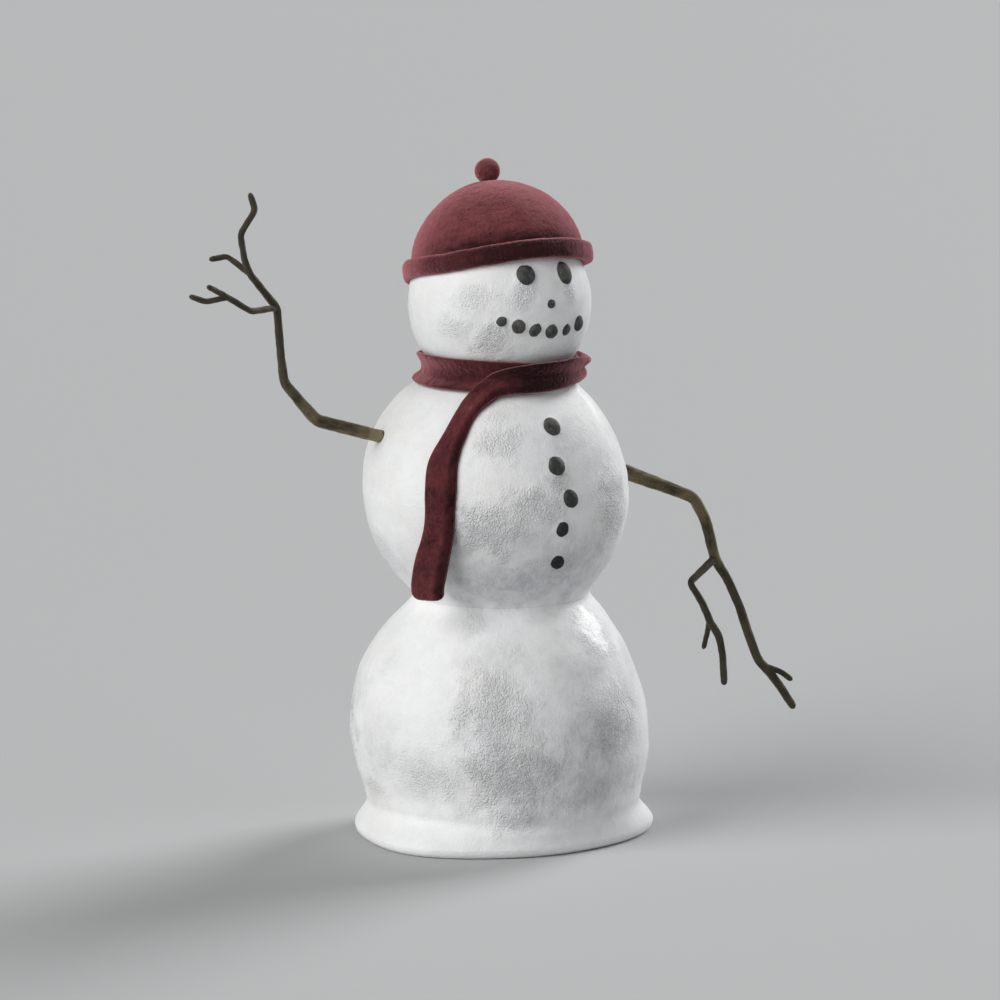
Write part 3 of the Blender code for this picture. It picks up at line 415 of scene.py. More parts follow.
def hump(value, middle, half_width):
    """1 at the middle, falling away to 0 on both sides."""
    return np.exp(-((value - middle) / half_width) ** 2)


def turn_between(azimuth, other):
    """Degrees from other to azimuth, the short way round."""
    return (azimuth - other + 180) % 360 - 180


def bell(azimuth, middle, half_width):
    """1 at the middle azimuth, falling away to 0 on both sides, wherever the count of degrees begins."""
    return hump(turn_between(azimuth, middle), 0.0, half_width)


def turns(count, whole=360):
    """Even turns round a circle."""
    return np.arange(count) * whole / count


def squared_off(wave, power):
    """A sine or cosine pushed out to make a rounded oblong of a circle, more for a smaller power."""
    return np.sign(wave) * np.abs(wave) ** power


def run_along(line):
    """How far along a line each of its points is."""
    return np.concatenate([[0], np.cumsum(np.linalg.norm(np.diff(line, axis=0), axis=1))])


def resample(rows, run, steps):
    """Rows of values at new steps along a line whose old steps are its run."""
    return np.stack([np.interp(steps, run, column) for column in rows.T], axis=-1)


# ---------------------------------------------------------------- the snow's shape

def ball_radius(height, radius, reach):
    """Radius of a ball at this height over its widest ring; it runs on below zero past the ball's end."""
    share = np.abs(height) / reach
    return np.where(share < 1, radius * np.sqrt(np.maximum(1 - share * share, 0)), -2 * radius * (share - 1))


def foot_radius(z):
    """Radius of the lip at the ground: a rounded edge, then an even slope up to the ball."""
    share = np.clip(1 - z / FOOT_WIDEST_HEIGHT, 0, 1)
    edge = FOOT_CONTACT_RADIUS + (FOOT_RADIUS - FOOT_CONTACT_RADIUS) * np.sqrt(1 - share * share)
    slope = FOOT_RADIUS - FOOT_FLARE * smooth_step(z, FOOT_WIDEST_HEIGHT, FOOT_TOP_HEIGHT)
    return np.where(z < FOOT_WIDEST_HEIGHT, edge, slope)


def snow_radius(z, softness=0.0):
    """Radius of the stack of balls at height z, where the ball runs into the lip this much more softly."""
    z = np.asarray(z, dtype=float)
    reach = np.where(z > BOTTOM_HEIGHT, BOTTOM_RISE, BOTTOM_DROP)
    bottom = ball_radius(z - BOTTOM_HEIGHT, BOTTOM_RADIUS, reach)
    middle = ball_radius(z - MIDDLE_HEIGHT, MIDDLE_RADIUS, MIDDLE_RADIUS)
    head = ball_radius(z - HEAD_HEIGHT, HEAD_RADIUS, HEAD_RADIUS)
    waist = WAIST_FILLET * smooth_step(z, FOOT_SOFT_END, BOTTOM_HEIGHT)
    lip = FOOT_FILLET * (1 - smooth_step(z, FOOT_TOP_HEIGHT, FOOT_BLEND_END)) + softness
    return np.select(
        [z < FOOT_WIDEST_HEIGHT, z < FOOT_SOFT_END, z < MIDDLE_HEIGHT],
        [foot_radius(z), soft_max(bottom, foot_radius(z), lip), soft_max(bottom, middle, waist)],
        soft_max(middle, head, NECK_FILLET))


def turned(azimuth, radius, z):
    """Points at these azimuths, distances from Z and heights."""
    angle = np.radians(azimuth)
    return np.stack(np.broadcast_arrays(radius * np.sin(angle), -radius * np.cos(angle), z), axis=-1)


def centre_offset(z):
    """How far the stack's centre line is off Z at height z."""
    z = np.asarray(z, dtype=float)
    drift = np.full(z.shape, CENTRE_LINE[0][1])
    for (low, start), (high, end) in zip(CENTRE_LINE, CENTRE_LINE[1:]):
        drift = np.where(z > low, start + (end - start) * smooth_step(z, low, high), drift)
    return turned(DRIFT_AZIMUTH, drift, z * 0)


def foot_bulge(azimuth, z):
    """How far the lip stands out or in at this azimuth."""
    fade = 1 - smooth_step(z, FOOT_WIDEST_HEIGHT, FOOT_TOP_HEIGHT)
    return fade * sum(amount * bell(azimuth, middle, half_width) for middle, half_width, amount in FOOT_LOBES)


def foot_softness(azimuth, z):
    """How much softer than elsewhere the ball runs into the lip here."""
    middle, half_width, fillet = FOOT_SOFT
    rise = smooth_step(z, FOOT_SOFT_START, FOOT_SOFT_FULL)
    fall = smooth_step(z, FOOT_SOFT_FADE, FOOT_SOFT_END)
    return fillet * bell(azimuth, middle, half_width) * rise * (1 - fall)


def on_snow(azimuth, z):
    """Points of the plain snow surface."""
    azimuth, z = np.broadcast_arrays(np.asarray(azimuth, dtype=float), np.asarray(z, dtype=float))
    radius = snow_radius(z, foot_softness(azimuth, z)) + foot_bulge(azimuth, z)
    return turned(azimuth, radius, z) + centre_offset(z)


def snow_normal(azimuth, z):
    """The way out of the snow at one place."""
    turn, rise = 1.0, 0.004
    along = on_snow(azimuth + turn, z) - on_snow(azimuth - turn, z)
    up = on_snow(azimuth, z + rise) - on_snow(azimuth, z - rise)
    out = np.cross(along, up)
    return out / np.linalg.norm(out)


def even_heights(low, high, spacing):
    """Heights from low to high, evenly spaced along the snow's outline."""
    fine = np.linspace(low, high, SNOW_OUTLINE_STEPS)
    run = run_along(np.stack([fine, np.maximum(snow_radius(fine), 0)], axis=-1))
    return np.interp(np.linspace(0, run[-1], int(run[-1] / spacing) + 1), run, fine)


# ---------------------------------------------------------------- meshes

def raised(points, relief):
    """A grid whose columns run round counter-clockwise, each point moved out of its surface by the relief."""
    columns = np.roll(points, -1, axis=1) - np.roll(points, 1, axis=1)
    out = np.cross(columns, np.gradient(points, axis=0))
    out /= np.maximum(np.linalg.norm(out, axis=-1, keepdims=True), 1e-12)
    return points + out * relief[..., None]


def grid_faces(rows, columns, start, loop):
    """Faces of a tube of points, closed at both ends by one flat face, or joined end to end."""
    index = start + np.arange(rows * columns).reshape(rows, columns)
    lower = index if loop else index[:-1]
    upper = np.roll(index, -1, axis=0) if loop else index[1:]
    quads = np.stack([lower, np.roll(lower, -1, axis=1), np.roll(upper, -1, axis=1), upper], axis=-1)
    faces = quads.reshape(-1, 4).tolist()
    if not loop:
        faces += [index[0][::-1].tolist(), index[-1].tolist()]
    return faces


def link_object(name, data):
    """A new object in the scene."""
    item = bpy.data.objects.new(name, data)
    bpy.context.scene.collection.objects.link(item)
    return item


def tube_object(name, grids, attributes, loop=False):
    """One mesh object from grids of points, with its caps' rims sharp and values for each point."""
    points, faces, rims, start = [], [], set(), 0
    for grid in grids:
        rows, columns = grid.shape[:2]
        faces += grid_faces(rows, columns, start, loop)
        if not loop:
            rims.update(range(start, start + columns))
            rims.update(range(start + (rows - 1) * columns, start + rows * columns))
        points.append(grid.reshape(-1, 3))
        start += rows * columns
    mesh = bpy.data.meshes.new(name)
    mesh.from_pydata(np.concatenate(points).tolist(), [], faces)
    mesh.shade_smooth()
    if rims:
        ends = np.zeros(len(mesh.edges) * 2, dtype=np.int64)
        mesh.edges.foreach_get("vertices", ends)
        on_rim = np.isin(ends.reshape(-1, 2), list(rims)).all(axis=1)
        sharp = mesh.attributes.new("sharp_edge", "BOOLEAN", "EDGE")
        sharp.data.foreach_set("value", on_rim)
    for key, values in attributes.items():
        kind, field = ("FLOAT_VECTOR", "vector") if values.ndim == 2 else ("FLOAT", "value")
        made = mesh.attributes.new(key, kind, "POINT")
        made.data.foreach_set(field, values.astype(np.float32).ravel())
    mesh.validate()
    return link_object(name, mesh)


def dress(item, material, slot, *nodes):
    """Give a piece its material, and let it ride and stand for its nodes. The slot is not used."""
    item.data.materials.append(material)
    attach(item, "root")
    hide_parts(*nodes)


# ---------------------------------------------------------------- material nodes

def feed(tree, value, socket):
    """Link a socket or set a plain value."""
    if isinstance(value, bpy.types.NodeSocket):
        tree.links.new(value, socket)
    elif isinstance(socket, bpy.types.NodeSocketColor) and len(value) == 3:
        socket.default_value = (*value, 1.0)
    else:
        socket.default_value = value


def feed_all(tree, node, values):
    """Link or set a node's inputs by name or number."""
    for key, value in values.items():
        feed(tree, value, node.inputs[key])


def add_node(tree, kind, inputs, **properties):
    made = tree.nodes.new(kind)
    for key, value in properties.items():
        setattr(made, key, value)
    feed_all(tree, made, inputs)
    return made


def mix_colour(tree, factor, first, second):
    made = add_node(tree, "ShaderNodeMix", {}, data_type="RGBA")
    colours = [socket for socket in made.inputs if socket.type == "RGBA"]
    feed(tree, factor, made.inputs[0])
    feed(tree, first, colours[0])
    feed(tree, second, colours[1])
    return [socket for socket in made.outputs if socket.type == "RGBA"][0]


def scaled(tree, value, by, plus=0.0, clamp=False):
    """A value times another, plus a third."""
    made = add_node(tree, "ShaderNodeMath", {0: value, 1: by, 2: plus}, operation="MULTIPLY_ADD",
                    use_clamp=clamp)
    return made.outputs[0]


def remap(tree, value, low, high, new_low=0.0, new_high=1.0):
    made = add_node(tree, "ShaderNodeMapRange", {"Value": value, "From Min": low, "From Max": high,
                                                 "To Min": new_low, "To Max": new_high},
                    interpolation_type="SMOOTHSTEP")
    return made.outputs["Result"]


def noise_node(tree, vector, scale, detail=2.0, roughness=0.5, distortion=0.0):
    made = add_node(tree, "ShaderNodeTexNoise", {"Vector": vector, "Scale": scale, "Detail": detail,
                                                 "Roughness": roughness, "Distortion": distortion})
    return made.outputs["Fac"]


def object_place(tree):
    return add_node(tree, "ShaderNodeTexCoord", {}).outputs["Object"]


def read_attribute(tree, name, kind="Fac"):
    return add_node(tree, "ShaderNodeAttribute", {}, attribute_name=name).outputs[kind]


def new_group(name, inputs, outputs):
    """A shader node group whose inputs and outputs have these names and kinds of socket."""
    tree = bpy.data.node_groups.new(name, "ShaderNodeTree")
    for side, sockets in (("INPUT", inputs), ("OUTPUT", outputs)):
        for label, kind in sockets.items():
            tree.interface.new_socket(label, in_out=side, socket_type="NodeSocket" + kind)
    return tree, tree.nodes.new("NodeGroupInput").outputs, tree.nodes.new("NodeGroupOutput").inputs


def use_group(tree, group, inputs):
    return add_node(tree, "ShaderNodeGroup", inputs, node_tree=group).outputs


def speckle_group():
    """Soft clouds and fine specks, for colour that is never even and for a grainy surface."""
    name = "Clouds and specks"
    if name in bpy.data.node_groups:
        return bpy.data.node_groups[name]
    tree, given, wanted = new_group(name, {"Place": "Vector", "Cloud Size": "Float", "Speck Size": "Float"},
                                    {"Clouds": "Float", "Specks": "Float"})
    clouds = noise_node(tree, given["Place"], given["Cloud Size"], detail=4.0, roughness=0.55)
    specks = noise_node(tree, given["Place"], given["Speck Size"], detail=3.0, roughness=0.6)
    feed(tree, remap(tree, clouds, 0.36, 0.66), wanted["Clouds"])
    feed(tree, remap(tree, specks, 0.33, 0.68), wanted["Specks"])
    return tree


def crease_lines(tree, place, stretch, strength):
    """Long creases along the lines where slow waves cross their middle, broken off here and there."""
    stretched = add_node(tree, "ShaderNodeVectorMath", {0: place, 1: stretch}, operation="MULTIPLY")
    waves = noise_node(tree, stretched.outputs["Vector"], 13.0, detail=3.0, distortion=1.4)
    off_line = add_node(tree, "ShaderNodeMath", {0: scaled(tree, waves, 1.0, -0.5)}, operation="ABSOLUTE")
    broken = remap(tree, noise_node(tree, place, 26.0), 0.47, 0.62)
    lines = scaled(tree, remap(tree, off_line.outputs[0], 0.0, 0.013, 1.0, 0.0), broken)
    return scaled(tree, lines, strength)


def felt_group():
    """Felted wool: matted fibres, long broken creases and worn patches, with painted shade in the creases."""
    name = "Felted wool"
    if name in bpy.data.node_groups:
        return bpy.data.node_groups[name]
    tree, given, wanted = new_group(
        name, {"Place": "Vector", "Stretch": "Vector", "Creases": "Float", "Wool": "Color", "Deep": "Color",
               "Crease Strength": "Float"},
        {"Colour": "Color", "Height": "Float"})
    place = given["Place"]
    clouds = use_group(tree, speckle_group(), {"Place": place, "Cloud Size": 24.0, "Speck Size": 480.0})
    lines = crease_lines(tree, place, given["Stretch"], given["Crease Strength"])
    matted = noise_node(tree, place, 120.0, detail=5.0, roughness=0.60, distortion=0.4)
    matted = remap(tree, matted, 0.28, 0.70)
    fibres = noise_node(tree, place, 900.0, roughness=0.7, distortion=2.0)
    height = scaled(tree, fibres, 0.20, matted)
    height = scaled(tree, lines, -0.7, height)
    shade = scaled(tree, matted, 0.20, 0.42)
    shade = scaled(tree, clouds["Clouds"], 0.14, shade)
    shade = scaled(tree, clouds["Specks"], 0.18, shade)
    # painted shade: darker where the Creases lightness is low, and darker still along the crease lines
    shade = scaled(tree, shade, scaled(tree, given["Creases"], 1.6, 0.07))
    shade = scaled(tree, lines, -0.5, shade, clamp=True)
    feed(tree, mix_colour(tree, shade, given["Deep"], given["Wool"]), wanted["Colour"])
    feed(tree, height, wanted["Height"])
    return tree


# ---------------------------------------------------------------- materials

def new_material(name):
    made = bpy.data.materials.new(name)
    made.use_nodes = True
    tree = made.node_tree
    return made, tree, tree.nodes["Principled BSDF"]


def set_surface(tree, shader, inputs, height, depth):
    """Give a material's shader its inputs, and a bumpy surface that is this deep where the height is 1."""
    bump = add_node(tree, "ShaderNodeBump", {"Height": height, "Distance": depth})
    feed_all(tree, shader, inputs)
    feed(tree, bump.outputs["Normal"], shader.inputs["Normal"])


def packing_strokes(tree, place):
    """Fine marks down the snow, left by the hands that packed it."""
    stretched = add_node(tree, "ShaderNodeMapping", {"Vector": place, "Rotation": (0.25, 0.1, 0.3),
                                                     "Scale": (1.0, 1.0, 0.38)}).outputs["Vector"]
    return noise_node(tree, stretched, 130.0, detail=3.0, roughness=0.6, distortion=0.5)


def ice_and_shade_cover(tree, place, icy, strokes):
    """How much grey ice and painted shade shows: smeared over the patches, faint elsewhere, and streaked by
    the strokes.
    """
    smears = noise_node(tree, place, 30.0, detail=6.0, roughness=0.72, distortion=0.35)
    smears = remap(tree, smears, 0.38, 0.64)
    ice = scaled(tree, icy, scaled(tree, smears, 0.18, 0.42))
    ice = scaled(tree, smears, 0.10, ice, clamp=True)
    return scaled(tree, ice, scaled(tree, strokes, 1.6, 0.2), clamp=True)


def snow_grain(tree, place):
    """Crumbs of snow with small round beads among them."""
    crumbs = noise_node(tree, place, 215.0, detail=2.5, roughness=0.58)
    beads = add_node(tree, "ShaderNodeTexVoronoi", {"Vector": place, "Scale": 300.0}).outputs["Distance"]
    beads = remap(tree, beads, 0.05, 0.75, 1.0, 0.0)
    return scaled(tree, beads, 0.20, scaled(tree, crumbs, 0.75))


def snow_material():
    """Packed snow: white, with grey ice and painted shade, faint warm tints, and crumbs in the coarse patches
    with painted shade in their hollows.
    """
    look = settings("snow")
    made, tree, shader = new_material("packed snow")
    place = object_place(tree)
    coarse, icy, glaze = (read_attribute(tree, name) for name in ("coarse", "icy", "glaze"))
    tints = use_group(tree, speckle_group(), {"Place": place, "Cloud Size": 9.0, "Speck Size": 260.0})
    strokes = packing_strokes(tree, place)
    grain = snow_grain(tree, place)
    # painted shade in the hollows between the crumbs, mostly in the coarse patches
    hollows = remap(tree, grain, 0.38, 0.50, 1.0, 0.0)
    hollows = scaled(tree, hollows, scaled(tree, coarse, 0.12, 0.01))
    colour = mix_colour(tree, scaled(tree, tints["Clouds"], 0.30), look.colour, look.warm_colour)
    # grey ice, and painted shade where the patches stand for it
    colour = mix_colour(tree, ice_and_shade_cover(tree, place, icy, strokes), colour, look.ice_and_shade_colour)
    colour = mix_colour(tree, hollows, colour, look.hollow_shade_colour)
    roughness = remap(tree, glaze, 0.0, 0.8, 0.56, 0.31)
    roughness = scaled(tree, strokes, 0.12, roughness)
    fine = scaled(tree, tints["Specks"], 0.05, scaled(tree, strokes, 0.08))
    height = scaled(tree, grain, scaled(tree, coarse, 1.65, 0.03), fine)
    height = scaled(tree, height, scaled(tree, glaze, -0.65, 1.0))
    set_surface(tree, shader, {"Base Color": colour, "Roughness": roughness}, height, SNOW_BUMP)
    return made


def coal_material():
    """Worn coal: nearly black, with a grey bloom on raised spots and a dull shine; the bloom is also painted
    light, stronger on the higher pebbles.
    """
    look = settings("coal")
    made, tree, shader = new_material("worn coal")
    specks = use_group(tree, speckle_group(), {"Place": object_place(tree), "Cloud Size": 60.0,
                                               "Speck Size": 520.0})
    bloom = scaled(tree, specks["Clouds"], 0.5)
    bloom = scaled(tree, specks["Specks"], 0.35, bloom)
    # painted light: more bloom on the higher pebbles
    bloom = scaled(tree, bloom, read_attribute(tree, "dust"))
    set_surface(tree, shader, {"Base Color": mix_colour(tree, bloom, look.colour, look.dust_colour),
                               "Roughness": remap(tree, specks["Clouds"], 0.0, 1.0, 0.62, 0.80)},
                scaled(tree, specks["Specks"], 0.3, specks["Clouds"]), COAL_BUMP)
    return made


def felt_material(name, look, stretch, crease_strength):
    """Felted wool, its pale nap colour mixed in as painted sheen where the cloth turns away, and as painted
    highlight where its lightness is above 1.
    """
    made, tree, shader = new_material(name)
    creases = read_attribute(tree, "crease")
    felt = use_group(tree, felt_group(), {
        "Place": read_attribute(tree, "cloth_place", "Vector"), "Creases": creases, "Wool": look.colour,
        "Deep": look.deep_colour, "Stretch": stretch, "Crease Strength": crease_strength})
    # painted sheen where the cloth turns away, and painted highlight where the lightness is above 1
    turned_away = add_node(tree, "ShaderNodeLayerWeight", {"Blend": 0.5}).outputs["Facing"]
    highlight_nap = remap(tree, creases, 1.0, CREASE_MOST)
    nap = scaled(tree, remap(tree, turned_away, 0.26, 1.0), 0.85, highlight_nap, clamp=True)
    set_surface(tree, shader, {"Base Color": mix_colour(tree, nap, felt["Colour"], look.nap_sheen_colour),
                               "Roughness": 0.92, "Specular IOR Level": 0.20, "Sheen Weight": 0.6,
                               "Sheen Roughness": 0.30, "Sheen Tint": (1.0, 0.48, 0.53)},
                felt["Height"], FELT_BUMP)
    return made


def bark_material():
    """Dry bark: long cracks, worn ridges and paler lengths, darker on young wood, bare in one place."""
    look = settings("sticks")
    made, tree, shader = new_material("dry bark")
    bare = read_attribute(tree, "bare")
    specks = use_group(tree, speckle_group(), {"Place": object_place(tree), "Cloud Size": 16.0,
                                               "Speck Size": 380.0})
    cracks = noise_node(tree, read_attribute(tree, "bark_place", "Vector"), 170.0, detail=3.0, distortion=0.3)
    ridges = remap(tree, cracks, 0.36, 0.64)
    worn = scaled(tree, specks["Clouds"], 0.66, -0.22)
    worn = scaled(tree, ridges, 0.30, worn)
    worn = scaled(tree, specks["Specks"], 0.20, worn, clamp=True)
    young = scaled(tree, read_attribute(tree, "young"), 0.80)
    wood = mix_colour(tree, scaled(tree, specks["Clouds"], 0.5), look.bare_colour, look.ridge_colour)
    colour = mix_colour(tree, remap(tree, cracks, 0.26, 0.44), look.crack_colour, look.bark_colour)
    colour = mix_colour(tree, worn, colour, look.ridge_colour)
    colour = mix_colour(tree, bare, colour, wood)
    colour = mix_colour(tree, young, colour, look.young_colour)
    height = scaled(tree, ridges, scaled(tree, bare, -0.8, 1.0))
    height = scaled(tree, specks["Specks"], 0.12, height)
    set_surface(tree, shader, {"Base Color": colour, "Roughness": 0.78, "Sheen Weight": 0.45,
                               "Sheen Roughness": 0.35, "Sheen Tint": (1.0, 0.90, 0.68)}, height, BARK_BUMP)
    return made


# ---------------------------------------------------------------- snow

def patch_cover(patches, azimuth, z, points, seed):
    """How much of each point lies in one of the patches, with ragged edges."""
    ragged = PATCH_RAGGED * layered_noise(points, 0.045, seed, 4)
    cover = np.zeros(azimuth.shape)
    for middle, height, half_width, half_height, strength in patches:
        across = np.radians(turn_between(azimuth, middle)) * snow_radius(height) / half_width
        distance = np.hypot(across, (z - height) / half_height) + ragged
        cover = np.maximum(cover, strength * (1 - smooth_step(distance, *PATCH_EDGE)))
    return cover


def coal_clearing(points):
    """0 where a pebble sits and 1 away from it, so that the snow lies even under its edge."""
    clear = np.ones(points.shape[:-1])
    for _, azimuth, z, _, width, _ in COAL:
        distance = np.linalg.norm(points - on_snow(azimuth, z), axis=-1)
        clear = np.minimum(clear, smooth_step(distance / width, *COAL_CLEARING))
    return clear


def snow_relief(points, coarse):
    """How far the snow rises: hand-packed lumps, crumbs in the coarse patches and a fine unevenness."""
    look = settings("snow")
    lumps = look.lump_depth * (0.7 * noise(points, 0.14, 3) + 0.4 * noise(points, 0.055, 5))
    crumbs = 0.5 - 1.3 * np.abs(noise(points, (0.010, 0.010, 0.009), 31)) + 0.8 * noise(points, 0.0078, 33)
    fine = SNOW_FINE_DEPTH * layered_noise(points, 0.02, 41, 2)
    return lumps + look.grain_depth * coarse * crumbs + fine - SNOW_INSET


def snow_ball(name, low, high, material):
    """One ball of the stack, with hand-packed lumps and coarse patches."""
    spacing = settings("snow").spacing
    heights = even_heights(low, high, spacing)
    columns = int(2 * math.pi * snow_radius(heights).max() / spacing)
    azimuth, z = np.meshgrid(turns(columns), heights)
    points = on_snow(azimuth, z)
    coarse = patch_cover(COARSE_PATCHES, azimuth, z, points, 11)
    # thin ice, and painted shade: the scarf tail's shadow and the undersides
    icy = patch_cover(ICE_AND_SHADE_PATCHES, azimuth, z, points, 23)
    glaze = patch_cover(GLAZE_PATCHES, azimuth, z, points, 29)
    coarse *= 1 - 0.7 * glaze
    clear = coal_clearing(points) * smooth_step(z, *SNOW_GROUNDED)
    points = raised(points, snow_relief(points, coarse) * clear)
    points[..., 2] = np.maximum(points[..., 2], 0.0)
    piece = tube_object(name + "_surface", [points],
                        {"coarse": coarse.ravel(), "icy": icy.ravel(), "glaze": glaze.ravel()})
    dress(piece, material, "snow", name)


# ---------------------------------------------------------------- coal

def oval_grid(rows, columns):
    """A unit ball's points, from its foot to its top, with a small gap at each."""
    steepest = math.pi / 2 - POLE_GAP
    turn, tilt = np.meshgrid(turns(columns, 2 * math.pi), np.linspace(-steepest, steepest, rows))
    return np.stack([np.cos(tilt) * np.cos(turn), np.cos(tilt) * np.sin(turn), np.sin(tilt)], axis=-1)


def pebble(row, seed, material):
    """A flattened pebble pressed into the snow, a little uneven and worn flat in places."""
    name, azimuth, z, length, width, roll = row
    shape = oval_grid(COAL_ROWS, COAL_COLUMNS)
    shape = shape * (1 + 0.055 * noise(shape, 0.9, seed) + 0.02 * noise(shape, 0.4, seed + 7))[..., None]
    shape = shape * np.array((length, width, width * COAL_DEPTH))
    shape = raised(shape, settings("coal").unevenness * noise(shape, width * 0.55, seed + 3))
    out = snow_normal(azimuth, z)
    level = np.cross((0, 0, 1), out)
    level /= np.linalg.norm(level)
    turn = math.radians(roll)
    along = level * math.cos(turn) + np.cross(out, level) * math.sin(turn)
    centre = on_snow(azimuth, z) - out * width * COAL_DEPTH * COAL_SINK
    points = centre + shape @ np.array((along, np.cross(out, along), out))
    # painted light by height: more bloom on the higher pebbles
    dust = np.full(COAL_ROWS * COAL_COLUMNS, float(smooth_step(z, *COAL_DUST_AND_LIGHT)))
    dress(tube_object(name + "_pebble", [points], {"dust": dust}), material, "coal", name)


# ---------------------------------------------------------------- hat

def hat_place(points):
    """Points on the hat's own axis, moved to where the hat sits."""
    turn = np.array(Euler((math.radians(-HAT_TIP_BACK), math.radians(HAT_TIP_SIDE), 0)).to_matrix())
    seat = centre_offset(HEAD_HEIGHT) + turned(DRIFT_AZIMUTH, HAT_SHIFT, HEAD_HEIGHT)
    return points @ turn.T + seat


def hat_piece(node, points, attributes, material, loop=False):
    """One felted piece of the hat, from points on the hat's own axis."""
    dress(tube_object(node + "_felt", [hat_place(points)], attributes, loop), material, "hat_wool", node)


def crown_height(radius):
    """Height of the dome over the hat's axis at this radius."""
    share = np.clip(radius / CROWN_RADIUS, 0, 1)
    return CROWN_SHOULDER + (CROWN_APEX - CROWN_SHOULDER) * (1 - share ** CROWN_POWER) ** (1 / CROWN_POWER)


def felt_relief(azimuth, run, around, seed):
    """Where each point lies in the wool, by turn and by run along the outline, and the rise of fine creases
    that run round."""
    angle = np.radians(azimuth)
    place = np.stack([np.sin(angle) * around, np.cos(angle) * around, run], axis=-1)
    waves = 0.6 * noise(place, (0.036, 0.036, 0.017), seed)
    waves += 0.35 * noise(place, (0.013, 0.013, 0.008), seed + 1)
    bent = place + 0.02 * noise(place, 0.05, seed + 5)[..., None]
    creases = 1 - np.abs(noise(bent, (0.055, 0.055, 0.012), seed + 2)) * 3.2
    return place, 0.55 * waves - 0.45 * np.clip(creases, 0, 1) ** 2 + 0.2 * noise(place, 0.045, seed + 3)


def felt_attributes(place, relief, share=0.6, tone=0.0):
    """Where each point lies in the wool, and how light it is: painted shade in the creases by this share of
    the relief, and the tone added. Above 1 the cloth turns to its pale nap colour as a painted highlight."""
    crease = np.clip(0.5 + share * relief + 0.6 * tone, 0, CREASE_MOST)
    return {"cloth_place": place.reshape(-1, 3), "crease": crease.ravel()}


def hat_crown(material):
    """The domed crown, creased by felting, its edge tucked into the brim and its front darkened low down with
    painted shade.
    """
    fine = CROWN_RADIUS * np.sin(np.linspace(0, math.pi / 2, CROWN_OUTLINE_STEPS))
    outline = np.stack([fine, crown_height(fine)], axis=-1)[::-1]
    outline = np.concatenate([[(CROWN_RADIUS - CROWN_TUCK, CROWN_LOWEST)], outline])
    length = run_along(outline)
    steps = np.linspace(0, length[-1] - CROWN_TOP_GAP, int(length[-1] / CROWN_SPACING))
    azimuth, run = np.meshgrid(turns(CROWN_COLUMNS), steps)
    points = turned(azimuth, np.interp(run, length, outline[:, 0]), np.interp(run, length, outline[:, 1]))
    place, relief = felt_relief(azimuth, run, CROWN_RADIUS, 61)
    middle, half_width, rise, strength = CROWN_SHADE
    soft = 0.0022 * noise(points, 0.12, 71)
    points = raised(points, settings("hat").crease_depth * relief + soft)
    # painted shade on the crown's front, low down over the brim
    painted_shade = strength * bell(azimuth, middle, half_width)
    painted_shade *= 1 - smooth_step(points[..., 2], CROWN_SHOULDER, CROWN_SHOULDER + rise)
    hat_piece("hat_crown", points, felt_attributes(place, relief, 0.30, -painted_shade), material)


def brim_section(count):
    """A rolled edge: an upright rounded oblong, from its inner side down, out and up."""
    angle = turns(count, 2 * math.pi)
    middle, half = (BRIM_RADIUS + BRIM_INNER) / 2, (BRIM_RADIUS - BRIM_INNER) / 2
    return (middle + half * squared_off(np.cos(angle), 2 / BRIM_POWER),
            BRIM_MIDDLE + BRIM_HALF_HEIGHT * squared_off(np.sin(angle), 2 / BRIM_POWER))


def hat_brim(material):
    """The rolled brim, a little wavy, with creases along it, and darker low down and at the front with
    painted shade.
    """
    radius, height = brim_section(BRIM_ROWS)
    azimuth, section = np.meshgrid(turns(BRIM_COLUMNS), np.arange(BRIM_ROWS))
    wave = sum(rise * bell(azimuth, middle, half_width) for middle, half_width, rise in BRIM_WAVES)
    points = turned(azimuth, radius[section], height[section] + wave)
    outline = np.stack([radius, height], axis=-1)
    run = np.minimum(run_along(outline), run_along(outline[::-1])[::-1])
    place, relief = felt_relief(azimuth, run[section] + BRIM_WOOL, BRIM_RADIUS, 83)
    soft = 0.0015 * noise(points, 0.05, 91)
    points = raised(points, settings("hat").crease_depth * relief + soft)
    middle, half_width, strength = BRIM_SHADE
    low = 1 - smooth_step((height[section] - BRIM_MIDDLE) / BRIM_HALF_HEIGHT, 0.6, 1.0)
    # painted shade below the brim's top edge, deepest at the front
    tone = (BRIM_LOW_TONE - strength * bell(azimuth, middle, half_width)) * low
    hat_piece("hat_brim", points, felt_attributes(place, relief, 0.10, tone), material, loop=True)


def hat_bobble(material):
    """The small felted ball on top, sunk a little into the crown."""
    ball = oval_grid(BOBBLE_ROWS, BOBBLE_COLUMNS)
    azimuth = np.degrees(np.arctan2(ball[..., 0], -ball[..., 1]))
    run = np.arcsin(np.clip(ball[..., 2], -1, 1)) * BOBBLE_RADIUS
    place, relief = felt_relief(azimuth, run + BOBBLE_WOOL, BOBBLE_RADIUS, 101)
    size = BOBBLE_RADIUS * (BOBBLE_SHARE + 0.03 * noise(ball, 0.8, 103)) + BOBBLE_CREASE_DEPTH * relief
    points = ball * size[..., None] + np.array((0, 0, BOBBLE_MIDDLE))
    hat_piece("hat_bobble", points, felt_attributes(place, relief, 0.25, -0.1), material)


# ---------------------------------------------------------------- scarf

def scarf_thickness(z):
    share = smooth_step(z, SCARF_ON_BALL, SCARF_OFF_NECK)
    return SCARF_TAIL_THICK + (SCARF_NECK_THICK - SCARF_TAIL_THICK) * share


